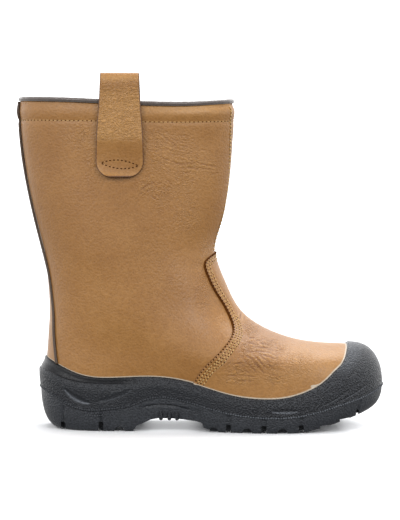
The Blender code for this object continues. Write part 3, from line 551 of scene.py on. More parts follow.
legLeather = {
    "columns": 330, "rows": 262, "insideRows": 12, "tuck": 7.0, "worn": 0.6, "seed": 11,
    "slack": 0.5, "slackWaves": (17, 31, 23, 40), "slackFrom": (20, 50), "slackTo": (230, 170),
    "cuffHeight": 16.2, "cuffPuff": 0.35, "cuffDraw": 0.5, "cuffPinch": 0.3,
    # cuff rolls out towards the front: how far, between which x, and its shares of the height when full and gone
    "cuffRoll": 1.2, "rollFrom": (80, 135), "rollFull": 0.42, "rollGone": 2.2,
    # outer side laps over the inner one up the front of the leg: how far round its edge and its stitches are
    "lapThick": 0.9, "lapEdge": {0: 9.0, 18: 8.6, 60: 5.9, 180: 4.7}, "lapStitches": 2.3, "lapFade": (34.0, 14.0),
    "frontReach": 38.0,
    # creases one by one: from x z to x z, bow, half width, depth
    "creases": [
        (115.6, 232.5, 140.8, 233.4, 1.2, 0.9, 0.18), (140.0, 233.6, 158.2, 230.3, 0.6, 0.9, 0.20),
        (131.2, 236.4, 146.0, 233.0, 0.8, 0.8, 0.15), (124.0, 229.6, 157.0, 227.6, 1.6, 0.9, 0.14),
        (113.0, 246.9, 121.4, 244.2, 0.4, 0.7, 0.18), (118.5, 252.0, 126.0, 246.0, -0.6, 0.7, 0.15),
        (91.2, 209.8, 103.4, 218.9, 0.8, 0.9, 0.20), (93.0, 206.0, 104.0, 213.5, 0.8, 0.8, 0.15),
        (99.9, 206.8, 108.6, 201.6, -0.5, 0.8, 0.17), (104.0, 262.0, 117.5, 252.5, 1.0, 0.7, 0.14),
        (100.0, 244.5, 110.5, 250.5, 0.7, 0.7, 0.14), (108.0, 240.5, 118.5, 236.5, -0.7, 0.7, 0.15),
        (119.5, 222.0, 129.0, 217.0, 0.5, 0.7, 0.13), (30.0, 263.0, 41.0, 265.6, 0.6, 0.8, 0.15),
        (26.0, 259.0, 36.0, 262.5, 0.5, 0.8, 0.13), (141.0, 246.0, 154.0, 243.2, 0.8, 0.8, 0.10),
    ],
    # painted light and shade, middle x z, reach in x and z, amount: darker at the ankle and mid-leg, a painted
    # highlight along the top of the cuff's front half, paler low on the leg and up the front
    "lightAndShadePatches": [(124, 102, 28, 34, -0.12), (80, 176, 34, 36, -0.07), (132, 283, 58, 7, 0.30),
              (80, 80, 70, 44, 0.06), (140, 190, 22, 50, 0.05)],
    # fine creases strewn by area: x z, reach in x and z, angle, fan, length, half width, depth, how many
    "areas": [
        (106, 254, 13, 13, -32, 24, 8, 0.62, 0.08, 40), (108, 236, 13, 12, 18, 34, 8, 0.62, 0.08, 36),
        (124, 246, 13, 12, -24, 22, 9, 0.62, 0.08, 30), (137, 232, 18, 12, -6, 12, 14, 0.70, 0.09, 20),
        (99, 214, 9, 10, 36, 14, 10, 0.70, 0.11, 18), (112, 208, 12, 13, -48, 18, 7, 0.62, 0.09, 26),
        (128, 218, 14, 14, -4, 22, 9, 0.62, 0.07, 20), (131, 190, 12, 18, 78, 24, 6, 0.62, 0.06, 18),
        (40, 258, 13, 12, 20, 24, 7, 0.62, 0.09, 24), (50, 236, 6, 14, 40, 22, 6, 0.62, 0.07, 18),
        (146, 126, 7, 24, -8, 12, 9, 0.65, 0.09, 18), (148, 158, 6, 10, 60, 25, 6, 0.60, 0.10, 14),
    ],
}
lapEdge = smoothLine(legLeather["lapEdge"])


def cuffPuff(down):                     # padded band: drawn in at the top, full in the middle, pinched by stitches
    share = np.clip(np.asarray(down, float) / legLeather["cuffHeight"], 0, 1)
    drawnIn = legLeather["cuffDraw"] * (1 - smoothStep(0.0, 0.6, share))
    pinch = legLeather["cuffPinch"] * bump(down, legLeather["cuffHeight"], 2.2)
    return legLeather["cuffPuff"] * np.sin(math.pi * share) ** 2 - drawnIn - pinch


def cuffRoll(down, x):                  # fills out quickly below the binding and falls back slowly
    full, share = legLeather["rollFull"], np.asarray(down, float) / legLeather["cuffHeight"]
    fall = 0.5 * smoothStep(full, 1.0, share) + 0.5 * smoothStep(1.0, legLeather["rollGone"], share)
    rolled = legLeather["cuffRoll"] * smoothStep(0.0, full, share) * (1 - fall)
    return rolled * smoothStep(*legLeather["rollFrom"], x)


def lapHeight(fromLap):                 # outer side over the inner one, thinned out further round
    return legLeather["lapThick"] * smoothStep(-0.4, 0.3, fromLap) * smoothStep(*legLeather["lapFade"], fromLap)


def fromFront(turn):                    # distance round from the front line to the outer side
    return np.where(turn > math.pi, fullTurn - turn, -turn) * legLeather["frontReach"]


def legColumns(count):                  # closest on the outer side, right of the loop, where the fine creases are
    turns = np.linspace(0, fullTurn, 2000)
    speed = np.linalg.norm(np.gradient(form(60.0, turns), axis=0), axis=1)
    close = 1.0 + 0.9 * smoothStep(math.pi + 1.1, math.pi + 1.7, turns) + 0.35 * smoothStep(1.9, 1.3, turns)
    return spread(0, fullTurn, lambda t: np.interp(t, turns, speed * close), count + 1)[:-1]


def makeLegLeather():
    leg = legLeather
    turns = legColumns(leg["columns"])
    lowest = edgeDown(turns) + leg["tuck"]
    share = spread(0, 1, lambda s: 1.0 + 0.7 * smoothStep(0.02, 0.06, s) * smoothStep(0.5, 0.38, s), leg["rows"])
    down = share[:, None] * lowest[None, :]
    turn = np.broadcast_to(turns, down.shape)
    base, normal = form(down, turn), outward(down, turn)
    x, z = base[..., 0], base[..., 2]
    facing = smoothStep(0.2, 0.55, np.abs(normal[..., 1]))
    below = smoothStep(leg["cuffHeight"] - 1, leg["cuffHeight"] + 4, down)
    crease = creaseHeight(x, z, leg["creases"] + scatteredCreases(leg["areas"], leg["seed"])) * facing * below
    fromLap = fromFront(turn) - lapEdge(down)
    lap = lapHeight(fromLap) * smoothStep(downTo["throat"] + 12, downTo["throat"] + 2, down)
    # slack of the leg, a gentle wave that leaves the cuff and the ankle alone
    alongX, upZ, downZ, backX = leg["slackWaves"]
    wave = np.sin(x / alongX + z / upZ) * np.sin(z / downZ - x / backX)
    slack = leg["slack"] * wave * smoothStep(*leg["slackFrom"], down) * smoothStep(*leg["slackTo"], down)
    outside = base + normal * (cuffPuff(down) + cuffRoll(down, x) + crease + lap + slack)[..., None]
    inside = np.linspace(1, 0, leg["insideRows"])[:, None] * (edgeDown(turns) + 4)[None, :]
    points = np.concatenate([outside, skin(inside, np.broadcast_to(turns, inside.shape), -wall)])
    seam = np.where(down < downTo["throat"] + 4, np.abs(fromLap + 0.2), 9.0)
    fields = {                          # outside, and one number for the whole inside
        # the crease field also carries the painted light and shade patches
        "crease": (crease + paintedLightAndShade(x, z, leg["lightAndShadePatches"]) * facing, 0),
        "worn": (leg["worn"] * areaShade(x, z, leg["areas"]) * facing * below, 0),
        "overSole": (edgeDown(turn) - down - 0.45, 50), "fromEdge": (seam, 9),
    }
    fields = {n: np.concatenate([values, np.full(inside.shape, fill)]) for n, (values, fill) in fields.items()}
    piece = addPiece("leg_leather", points, "joined", [legHide], fields=fields)
    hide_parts("upper")


lining = {"columns": 180, "rows": 90, "top": 1.0, "tuck": 6.0, "pile": 1.7, "glue": 0.15, "tuft": 0.35}


def makeLining():                       # plain grey pile inside the leg, down to the footbed
    turns = evenTurns(lining["columns"])
    share = np.linspace(0, 1, lining["rows"])[:, None]
    down = share * (edgeDown(turns) + lining["tuck"])[None, :] + lining["top"]
    turn = np.broadcast_to(turns, down.shape)
    tuft = lining["tuft"] * np.sin(down / 3.1 + 3 * np.sin(turn * 9)) * np.sin(turn * 41 + down / 7)
    face = skin(down, turn, -wall - lining["pile"] + tuft)
    back = skin(down[::-6], turn[::-6], -wall - lining["glue"])
    piece = addPiece("pile_lining", np.concatenate([face, back]), "joined", [fleece])


makeLegLeather()
print("leg leather lasted")
makeLining()
print("lining laid in")


# Vamp

vampLeather = {
    "columns": 300, "under": 30, "rows": 220, "tuck": 3.0, "seat": 0.15, "thick": 1.75, "rounding": 1.1,
    "rawEdge": 0.6, "drawn": 0.25, "drawnWide": 0.9, "seed": 23,
    # edge in the side view, height to x, from the sole up to the front of the leg
    "edge": {41.0: 136.2, 57.4: 146.9, 65.4: 155.1, 76.9: 165.6, 84.7: 171.0, 90.4: 171.8, 97.3: 169.8,
             107.8: 164.6, 123.0: 155.2, 135.7: 149.3, 143.6: 146.8, 148.6: 147.6, 156.6: 158.5},
    "creases": [
        (181.6, 67.4, 191.2, 60.7, 0.6, 0.65, 0.30), (185.1, 66.8, 196.8, 55.6, 0.9, 0.65, 0.34),
        (187.5, 67.4, 200.5, 56.3, 0.8, 0.65, 0.32), (182.5, 61.9, 193.8, 51.2, 0.8, 0.65, 0.30),
        (191.2, 67.4, 205.5, 58.7, 0.8, 0.65, 0.30), (195.0, 66.8, 209.8, 62.5, 0.8, 0.65, 0.26),
        (190.0, 73.0, 205.5, 69.9, 0.6, 0.58, 0.22), (186.3, 69.4, 207.4, 66.8, 0.9, 0.58, 0.25),
        (177.6, 58.1, 187.5, 51.2, 0.6, 0.58, 0.26), (173.8, 59.3, 180.0, 61.9, 0.3, 0.58, 0.25),
        (201.1, 52.0, 213.6, 48.8, 0.8, 0.58, 0.26), (166.4, 50.6, 195.0, 49.1, 0.9, 0.58, 0.21),
        (170.1, 46.3, 191.2, 44.5, 0.6, 0.58, 0.16), (205.5, 51.2, 212.4, 45.1, 0.5, 0.58, 0.25),
        (212.4, 73.0, 213.6, 68.0, 0.3, 0.72, 0.25), (216.1, 74.3, 214.8, 67.4, -0.3, 0.72, 0.29),
        (191.8, 83.6, 195.0, 89.2, 0.2, 0.65, 0.29), (177.6, 94.1, 178.8, 102.2, 0.3, 0.79, 0.38),
        (181.0, 93.0, 183.5, 100.0, 0.4, 0.65, 0.25), (182.5, 85.4, 190.0, 86.8, 0.4, 0.50, 0.19),
        (185.1, 79.9, 192.4, 79.2, 0.4, 0.50, 0.21), (181.9, 76.7, 195.0, 73.0, 0.6, 0.58, 0.25),
        (186.5, 63.6, 199.5, 51.8, 0.7, 0.65, 0.30), (197.5, 62.4, 209.0, 54.5, 0.6, 0.58, 0.25),
    ],
    "areas": [
        (186, 72, 11, 8, -8, 14, 9, 0.62, 0.10, 30), (192, 61, 14, 7, -38, 12, 9, 0.62, 0.12, 34),
        (176, 56, 9, 7, 16, 22, 8, 0.62, 0.10, 22), (206, 60, 10, 8, -30, 16, 8, 0.62, 0.10, 24),
        (178, 47, 14, 4, -3, 8, 13, 0.65, 0.13, 16), (207, 48, 9, 5, -25, 16, 8, 0.62, 0.10, 16),
        (214, 70, 7, 6, 80, 16, 6, 0.65, 0.13, 12), (186, 87, 8, 7, 30, 26, 7, 0.62, 0.09, 16),
        (200, 74, 16, 5, -4, 12, 10, 0.60, 0.11, 26), (228, 62, 14, 10, -14, 20, 8, 0.60, 0.07, 26),
    ],
    # painted light and shade, middle x z, reach in x and z, amount: darker over the middle of the vamp, paler low
    # down, a painted highlight at the toe
    "lightAndShadePatches": [(195, 80, 44, 24, -0.14), (200, 46, 50, 8, 0.08), (250, 62, 32, 20, 0.16)],
    # rows of stitches: distance from the edge on the upper and on the lower run, and where the row starts
    "rowsFromEdge": [(3.3, 3.7, 170.0), (6.5, 6.1, 170.0), (8.9, 8.5, 100.0)], "edgeRow": (0.95, 0.95, 170.0),
    "stitch": {"pitch": 3.0, "length": 2.0, "thick": 0.95, "blunt": 2, "proud": 0.25, "sink": 0.3,
               "hole": 1.35, "holeLift": 0.25, "stray": 0.35},
    "edgeStitch": {"pitch": 3.1, "length": 1.6, "thick": 1.5, "blunt": 2, "proud": 0.05, "sink": 0.2, "hole": 0},
    "bareSpot": (240.6, 41.2, 3.4, 1.1),   # roughed patch above the scuff cap: middle x z, reach in x and z
}
vampEdgeX = smoothLine(vampLeather["edge"])


def vampTurns():                        # turn of the vamp's edge by distance down the form
    downs = np.linspace(downTo["lowerLeg"], downTo["feather"] + 4, 400)
    turns = np.linspace(0, 2.2, 700)
    points = skin(downs[:, None], turns[None, :], 1.0)
    inside = (points[..., 0] > vampEdgeX(points[..., 2])) & (points[..., 2] < max(vampLeather["edge"]))
    edge = np.where(inside.any(axis=1), turns[np.argmax(~inside, axis=1)], 0.0)
    smooth = np.convolve(np.pad(edge, 3, mode="edge"), np.ones(7) / 7, mode="valid")
    return downs, np.where(edge > 0, smooth, 0.0)


def rowsAlongEdge(rows, fromEdge, top, normal, overSole):   # lines on the vamp at a set distance from its edge
    paths = []
    middle = top.shape[1] // 2
    for upper, lower, start in rows:
        for cells in (np.arange(middle, top.shape[1]), np.arange(middle - 1, -1, -1)):
            line, up = [], []
            for r in range(len(top)):
                wanted = lower + (upper - lower) * smoothStep(84, 104, top[r, cells, 2])
                over = fromEdge[r, cells] - wanted
                k = int(np.argmax(over < 0))
                if k == 0 or overSole[r, cells[k]] < 0.8 or top[r, cells[k], 2] > start:
                    continue
                part = over[k - 1] / (over[k - 1] - over[k])
                line.append(top[r, cells[k - 1]] * (1 - part) + top[r, cells[k]] * part)
                up.append(normal[r, cells[k]])
            paths.append((np.array(line), np.array(up)))
    return paths


def makeVamp():
    vamp = vampLeather
    downs, edges = vampTurns()
    first = downs[np.argmax(edges > 0) - 1]
    share = spread(0, 1, lambda s: 1.0 + 2.5 * smoothStep(0.10, 0.0, s), vamp["rows"])
    side = np.linspace(-1, 1, vamp["columns"])
    side = 0.65 * side + 0.35 * np.sin(side * math.pi / 2)      # closer together towards the edges
    shares, sides = np.meshgrid(share, side, indexing="ij")
    turn = sides * 1.2
    for _ in range(6):                  # each row ends on the edge and on the sole's line
        down = first + shares * (edgeDown(turn) + vamp["tuck"] - first)
        turn = sides * np.interp(down, downs, edges)
    base, normal = form(down, turn), outward(down, turn)
    along = np.linspace(first, downs[-1], 900)
    rim = np.concatenate([form(along, s * np.interp(along, downs, edges)) for s in (-1, 1)])
    tree = kdtree.KDTree(len(rim))
    for i, point in enumerate(rim):
        tree.insert(point, i)
    tree.balance()
    fromEdge = np.array([tree.find(p)[2] for p in base.reshape(-1, 3)]).reshape(down.shape)
    fromEdge = np.maximum(fromEdge - 0.12, 0)
    rounded = np.sqrt(1 - (1 - np.clip(fromEdge / vamp["rounding"], 0, 1)) ** 2)
    x, z = base[..., 0], base[..., 2]
    facing = smoothStep(0.12, 0.45, np.abs(normal[..., 1]))
    crease = creaseHeight(x, z, vamp["creases"] + scatteredCreases(vamp["areas"], vamp["seed"])) * facing
    crease *= smoothStep(8, 13, fromEdge)
    drawn = sum(-vamp["drawn"] * bump(fromEdge, row[1], vamp["drawnWide"]) for row in vamp["rowsFromEdge"])
    top = base + normal * (vamp["seat"] + vamp["thick"] * rounded + crease + drawn)[..., None]
    under = np.linspace(vamp["columns"] - 1, 0, vamp["under"]).round().astype(int)
    points = np.concatenate([top, base[:, under] + normal[:, under] * 0.05], axis=1)
    overSole = edgeDown(turn) - gap - down
    bare = patch(x, z, *vamp["bareSpot"]) * (turn < 0)
    fields = {                          # top, and one number for the whole underside
        # the crease field also carries the painted light and shade patches
        "crease": (crease + paintedLightAndShade(x, z, vamp["lightAndShadePatches"]), 0),
        "worn": (areaShade(x, z, vamp["areas"]) * facing * smoothStep(7, 12, fromEdge), 0),
        "overSole": (overSole + 0.1 - 2.0 * bare, 50),
        "fromEdge": (fromEdge * (1.8 - 1.3 * smoothStep(80, 92, z)), 0),   # dark cut edge drawn wider on the upper run: painted shade where the edge turns away from the light
    }
    fields = {n: np.concatenate([values, np.full((len(top), vamp["under"]), fill)], axis=1)
              for n, (values, fill) in fields.items()}
    faces = ringFaces(*points.shape[:2], "capped")
    # the raw edge's material follows the widened field, so on the upper run it also carries painted shade
    rawEdge = fields["fromEdge"].reshape(-1) < vamp["rawEdge"]
    indices = [int(rawEdge[list(f)].all()) for f in faces]
    piece = addPiece("vamp_leather", points, faces, [legHide, dyedEdge], indices=indices, fields=fields)
    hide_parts("vamp")
    gold = rowsAlongEdge(vamp["rowsFromEdge"], fromEdge, top, normal, overSole)
    addStitches("vamp_stitches", gold, vamp["stitch"], [goldThread, needleHole])
    # dark row at the edge in the needle-hole colour, standing in for the shade of the holes along the edge
    dark = rowsAlongEdge([vamp["edgeRow"]], fromEdge, top, normal, overSole)
    addStitches("vamp_edge_stitches", dark, vamp["edgeStitch"], [needleHole])


makeVamp()
print("vamp stitched on")


# Moulded sole: tread sizes first, because the cup sits on them

outsole = {
    "columns": 600, "rows": 34, "step": 0.4, "rim": 2.4, "tuck": 2.2, "below": -4.0, "reach": 90.0, "web": 20.0,
    "low": 1.4, "polish": 0.5, "tipWear": 0.2, "sharp": 38,
    "shelf": (-0.8, -5.0), "coreIn": 1.0,   # seat of the cup: in and up from the last's edge, in from the tread
    "arch": [(84.4, -4.0), (85.1, 1.4), (87.7, 5.1), (92.2, 6.8), (100.0, 10.7), (107.0, 11.9), (118.6, 11.8),
             (128.4, 11.0), (140.0, 9.5), (145.0, 7.9), (146.0, 4.0), (150.8, 2.1), (153.8, -4.0)],
    "ribs": (109.0, 116.4, 123.0), "ribTop": 18.4, "ribEnd": 10.2,
    "ribBar": {"pitch": 9.0, "length": 8.2, "thick": 3.5, "blunt": 9, "proud": 1.5, "sink": 0.0, "hole": 0},
    "channelCorner": 0.9, "channels": {   # x to height, width and how far in it is tall
        22.6: (7.4, 4.2, 4.5), 56.3: (8.6, 4.2, 4.5), 167.8: (7.2, 4.2, 4.5), 198.4: (6.8, 4.2, 4.5),
        230.9: (7.2, 4.2, 4.5), 281.2: (18.6, 2.4, 3.5)},
    # shallow panel above each channel, full width between two x, and leaning ahead of them
    "panelDeep": 1.2, "panelLean": 0.35, "panelNarrow": 0.35, "fullPanels": (100, 260),
    "notches": (72.4, 154.5, 183.9, 214.6), "notchRadius": 4.5, "notchDeep": 4.5,
    "toeSteps": (247.3, 265.1), "stepTall": 2.0, "stepLong": 9.0,
    "waist": (89.0, 149.0), "waistDeep": 0.5,
    # curved groove on the waist, with where it starts and ends
    "groove": {95.0: 22.2, 107.0: 23.6, 120.0: 22.8, 134.0: 19.8}, "grooveDeep": 1.5, "grooveWide": 0.65,
    "grooveFrom": (94.0, 98.0), "grooveTo": (136.0, 130.0),
}
soleCup = {
    "columns": 640, "rows": 96, "ledge": 0.9, "ledgeEnd": 100.0, "ledgeFade": 35.0, "lipRadius": 1.6,
    "rimRadius": 0.9, "rimTuck": 0.45, "overlap": 0.55, "hangDown": 0.5, "hangIn": 0.66,
    "vampFrom": 140, "overVamp": 0.25, "overLeg": 0.15,   # clearance of the lip over the leather
    "ledgeLine": {-5: 54.0, 5.6: 52.0, 16.4: 48.6, 31.6: 44.2, 47.7: 42.4, 75: 42.0, 105: 42.0},
    # scooped hollows with a polished floor: from x z to x z, half height, bow down, depth, painted highlight low
    # down
    "scoops": [
        (24.0, 37.2, 47.5, 24.8, 3.3, 2.0, 0.45, 0.7), (54.0, 27.2, 84.0, 37.4, 3.1, 1.5, 0.28, 0.28),
        (204.6, 19.8, 228.2, 19.8, 2.8, 0.0, 0.15, 0.65), (245.0, 22.4, 276.0, 39.6, 1.1, 1.8, 0.12, 0.45),
        (262.0, 26.4, 293.0, 42.6, 1.3, 1.2, 0.12, 0.45),
    ],
    "fineTool": 0.22, "fineFrom": (250, 150), "finePale": 0.6,   # the tool is finer behind the toe
    "capGlint": 0.5, "capFrom": (246, 284),                        # painted highlight beside the leather, glints where the cap turns up to the light
    "bead": {"pitch": 2.2, "long": 1.0, "high": 0.95, "proud": 0.8, "polish": 0.5,
             "dome": ((-0.3, 1.0), (0.5, 0.86), (0.85, 0.5))},   # lift and width of its rings
    "beadShine": (0.28, 0.60), "beadShineFrom": (110, 200),
    "smileRows": (1.7, 3.3), "smile": (34, 70),   # more rows of beads under the heel's smile, down from the rim
}
ledgeLine = smoothLine(soleCup["ledgeLine"])


def scoopDepth(x, z):                   # polished hollows, with a painted highlight streak on the lower slope where it faces the light
    depth, shine, paintedStreak = np.zeros((3,) + x.shape)
    for x0, z0, x1, z1, half, bow, deep, litStreak in soleCup["scoops"]:
        along, across = alongLine(x, z, x0, z0, x1, z1, -bow)
        room = half * np.sqrt(np.clip(1 - (2 * along - 1) ** 2, 0, 1))
        up = across / np.maximum(room, 0.2)
        fall = smoothStep(1.0, 0.1, up) * smoothStep(-1.0, -0.2, up) * smoothStep(0, 1.0, room)
        floor = smoothStep(1.0, 0.6, up) * smoothStep(-1.4, -0.9, up) * smoothStep(0, 0.6, room)
        depth = np.maximum(depth, deep * fall)
        shine = np.maximum(shine, min(2 * deep, 1) * floor)
        paintedStreak = np.maximum(paintedStreak, litStreak * bump(up, -0.5, 0.4) * smoothStep(0.3, 1.2, room))
    return depth, shine, paintedStreak


def addBeads(parts, line, normals):     # low domes at even steps along a line
    bead, steps, turns = soleCup["bead"], runLength(line), evenTurns(8)[:, None]
    for spot in np.arange(bead["pitch"] / 2, steps[-1], bead["pitch"]):
        middle, ahead = pathAt(line, spot + np.array([0.0, 0.3]), steps)
        up = unit(pathAt(normals, spot, steps))
        run = unit(ahead - middle - up * ((ahead - middle) @ up))
        rise = np.cross(run, up)
        flat = run * (bead["long"] * np.cos(turns)) + rise * (bead["high"] * np.sin(turns))
        rings = [middle + up * (lift * bead["proud"]) + flat * wide for lift, wide in bead["dome"]]
        addBody(parts, np.stack(rings), highTip=middle + up * bead["proud"])


def soleSeat(turns, clear):             # top of the outsole, or what sits on it with a clearance
    down = partingDown(turns)
    rim = skin(down, turns, sideThick(form(down, turns)[:, 0]) - outsole["step"] - outsole["rim"] - clear)
    rim[:, 2] += clear
    shelf = bedRing(turns, *(clear + v for v in outsole["shelf"]))
    shelf[:, 2] = np.minimum(shelf[:, 2], rim[:, 2])
    core = form(downTo["tread"], turns) - level(outward(downTo["tread"], turns)) * (outsole["coreIn"] + clear)
    core[:, 2] = coreLine(core[:, 0]) + clear
    return [rim, shelf, core]


def makeSoleCup():
    cup = soleCup
    turns = evenTurns(cup["columns"])
    top, parted = edgeDown(turns), partingDown(turns)
    bottom = parted + cup["overlap"]    # hangs just over the outsole's rim
    share = np.linspace(0, 1, cup["rows"])[:, None]
    down = top + (bottom - top) * share
    turn = np.broadcast_to(turns, down.shape)
    base, normal = form(down, turn), outward(down, turn)
    lip, full = lipThick(base[..., 0]), sideThick(base[..., 0])
    offset = lip + (full - lip) * smoothStep(-0.05, 0.5, share)
    x, _, z = np.moveaxis(base + normal * offset[..., None], -1, 0)
    shelved = smoothStep(cup["ledgeEnd"], cup["ledgeEnd"] - cup["ledgeFade"], x)
    shelved = shelved * smoothStep(ledgeLine(x) - 0.6, ledgeLine(x) + 0.6, z)     # above the heel's ledge
    facing = smoothStep(0.2, 0.5, np.abs(normal[..., 1]))
    scoop, shine, paintedStreak = scoopDepth(x, z)
    # lip rounded over to the leather, lower rim rounded in to the outsole
    inner = np.where(base[..., 0] > cup["vampFrom"], vampThick + cup["overVamp"], cup["overLeg"])
    overLip = 1 - np.clip((down - top) / cup["lipRadius"], 0, 1)
    offset = inner + (offset - inner) * np.sqrt(1 - overLip**2)
    underRim = 1 - np.clip((bottom - down) / cup["rimRadius"], 0, 1)
    offset = offset - cup["rimTuck"] * (1 - np.sqrt(1 - underRim**2))
    ledge = cup["ledge"] * shelved * smoothStep(0.04, 0.2, share)
    side = base + normal * (offset - ledge - facing * scoop)[..., None]
    inside = top + (downTo["feather"] - top) * np.linspace(0.05, 0.8, 4)[::-1, None]
    inside = skin(inside, np.broadcast_to(turns, inside.shape), 0.12)
    under = [bedRing(turns, bootForm["lastingMargin"], -gap), bedRing(turns, -gap, -gap), *inside]
    rimFull = sideThick(form(parted, turns)[:, 0])
    hung = [skin(parted + d, turns, rimFull - cup["hangIn"]) for d in (cup["hangDown"], -gap)]
    points = np.stack(under + [*side] + hung + soleSeat(turns, gap))
    fine = cup["fineTool"] * smoothStep(*cup["fineFrom"], x)
    capGlints = cup["capGlint"] * smoothStep(*cup["capFrom"], x) * smoothStep(0.5, 0.02, share)
    fields = {"polish": np.zeros(points.shape[:2]), "tipWear": np.zeros(points.shape[:2])}
    seen = slice(len(under), len(under) + cup["rows"])
    fields["polish"][seen] = np.clip(np.maximum(0.8 * shelved + 0.8 * shine * facing, fine), 0, 1)
    # painted highlight: pale streaks on the lower slopes of the scoops and glints on the cap beside the leather;
    # the finer tool behind the toe is drawn paler too
    worn = np.maximum(paintedStreak * facing, capGlints)
    fields["tipWear"][seen] = np.maximum(worn, cup["finePale"] * fine * (1 - shelved))
    piece = addPiece("sole_cup", points, "laddered", [soleCompound], fields=fields)
    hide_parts("midsole")
    # beads along the rim, and more rows under the smile on either side of the heel
    parts = [], [], []
    addBeads(parts, *(np.vstack([rows[-4], rows[-4][:1]]) for rows in (side, normal)))
    for drop in cup["smileRows"]:
        row, low, high = skin(parted + drop, turns, rimFull - outsole["step"] + 0.05), *cup["smile"]
        for half in (np.sin(turns) < 0, np.sin(turns) > 0):
            chosen = half & (row[:, 0] > low + 2 * drop) & (row[:, 0] < high - 2 * drop)
            addBeads(parts, row[chosen], outward(parted + drop, turns)[chosen])
    # beads drawn paler towards the front, a painted highlight along the lit row
    low, high = cup["beadShine"]
    rubAndShine = low + (high - low) * smoothStep(*cup["beadShineFrom"], np.array(parts[0])[:, 0])
    fields = {"polish": cup["bead"]["polish"], "tipWear": rubAndShine}
    beads = addPiece("sole_beads", *parts[:2], [soleCompound], fields=fields)


def prism(outline, near, far):          # outline of the side view, drawn out across the boot
    count = len(outline)
    points = [(x, y, z) for y in (near, far) for x, z in outline]
    faces = [tuple(range(count)), tuple(range(2 * count - 1, count - 1, -1))]
    return points, faces + [(i, (i + 1) % count, count + (i + 1) % count, count + i) for i in range(count)]


def treadHalf(x, side):                 # half breadth of the tread at x, on the side asked for
    ring = form(downTo["tread"], np.linspace(0.02, math.pi - 0.02, 400) * side)
    return abs(float(np.interp(-x, -ring[:, 0], ring[:, 1])))


def treadCutters():
    below, reach, web = outsole["below"], outsole["reach"], outsole["web"]
    prisms = [prism(outsole["arch"], -reach, reach)]
    outlines, mouths = [], []
    for x, (high, wide, deep) in outsole["channels"].items():
        w, r = wide / 2, outsole["channelCorner"]
        low = float(treadLine(x)) + outsole["low"]
        roof = [(x - w, high - r), (x - w + r, high), (x + w - r, high), (x + w, high - r)]
        mouths.append((x, deep, [(x - w, below), *roof, (x + w, below)]))
        outlines.append([(x - w, below), (x - w, low), (x + w, low), (x + w, below)])
    for x in outsole["notches"]:
        r, base = outsole["notchRadius"], float(treadLine(x))
        arc = [(x - r * math.cos(t), base + r * math.sin(t)) for t in np.linspace(0, math.pi, 13)]
        mouths.append((x, outsole["notchDeep"], [(arc[0][0], below), *arc, (arc[-1][0], below)]))
    for x in outsole["toeSteps"]:       # saw-tooth steps under the toe
        ahead = x + outsole["stepLong"]
        rise = float(treadLine(x)) + outsole["stepTall"]
        outlines.append([(x, below), (x, rise), (ahead, float(treadLine(ahead))), (ahead, below)])
    for x, deep, outline in mouths:     # tall at the mouth only
        prisms += [prism(outline, side * reach, side * (treadHalf(x, side) - deep)) for side in (-1, 1)]
    for outline in outlines:            # each runs in from both sides to a web along the middle
        prisms += [prism(outline, -reach, -web), prism(outline, web, reach)]
    points, faces = [], []
    for somePoints, someFaces in prisms:
        faces += [tuple(i + len(points) for i in f) for f in someFaces]
        points += somePoints
    return addPiece("tread_cutter", points, faces, [soleCompound])


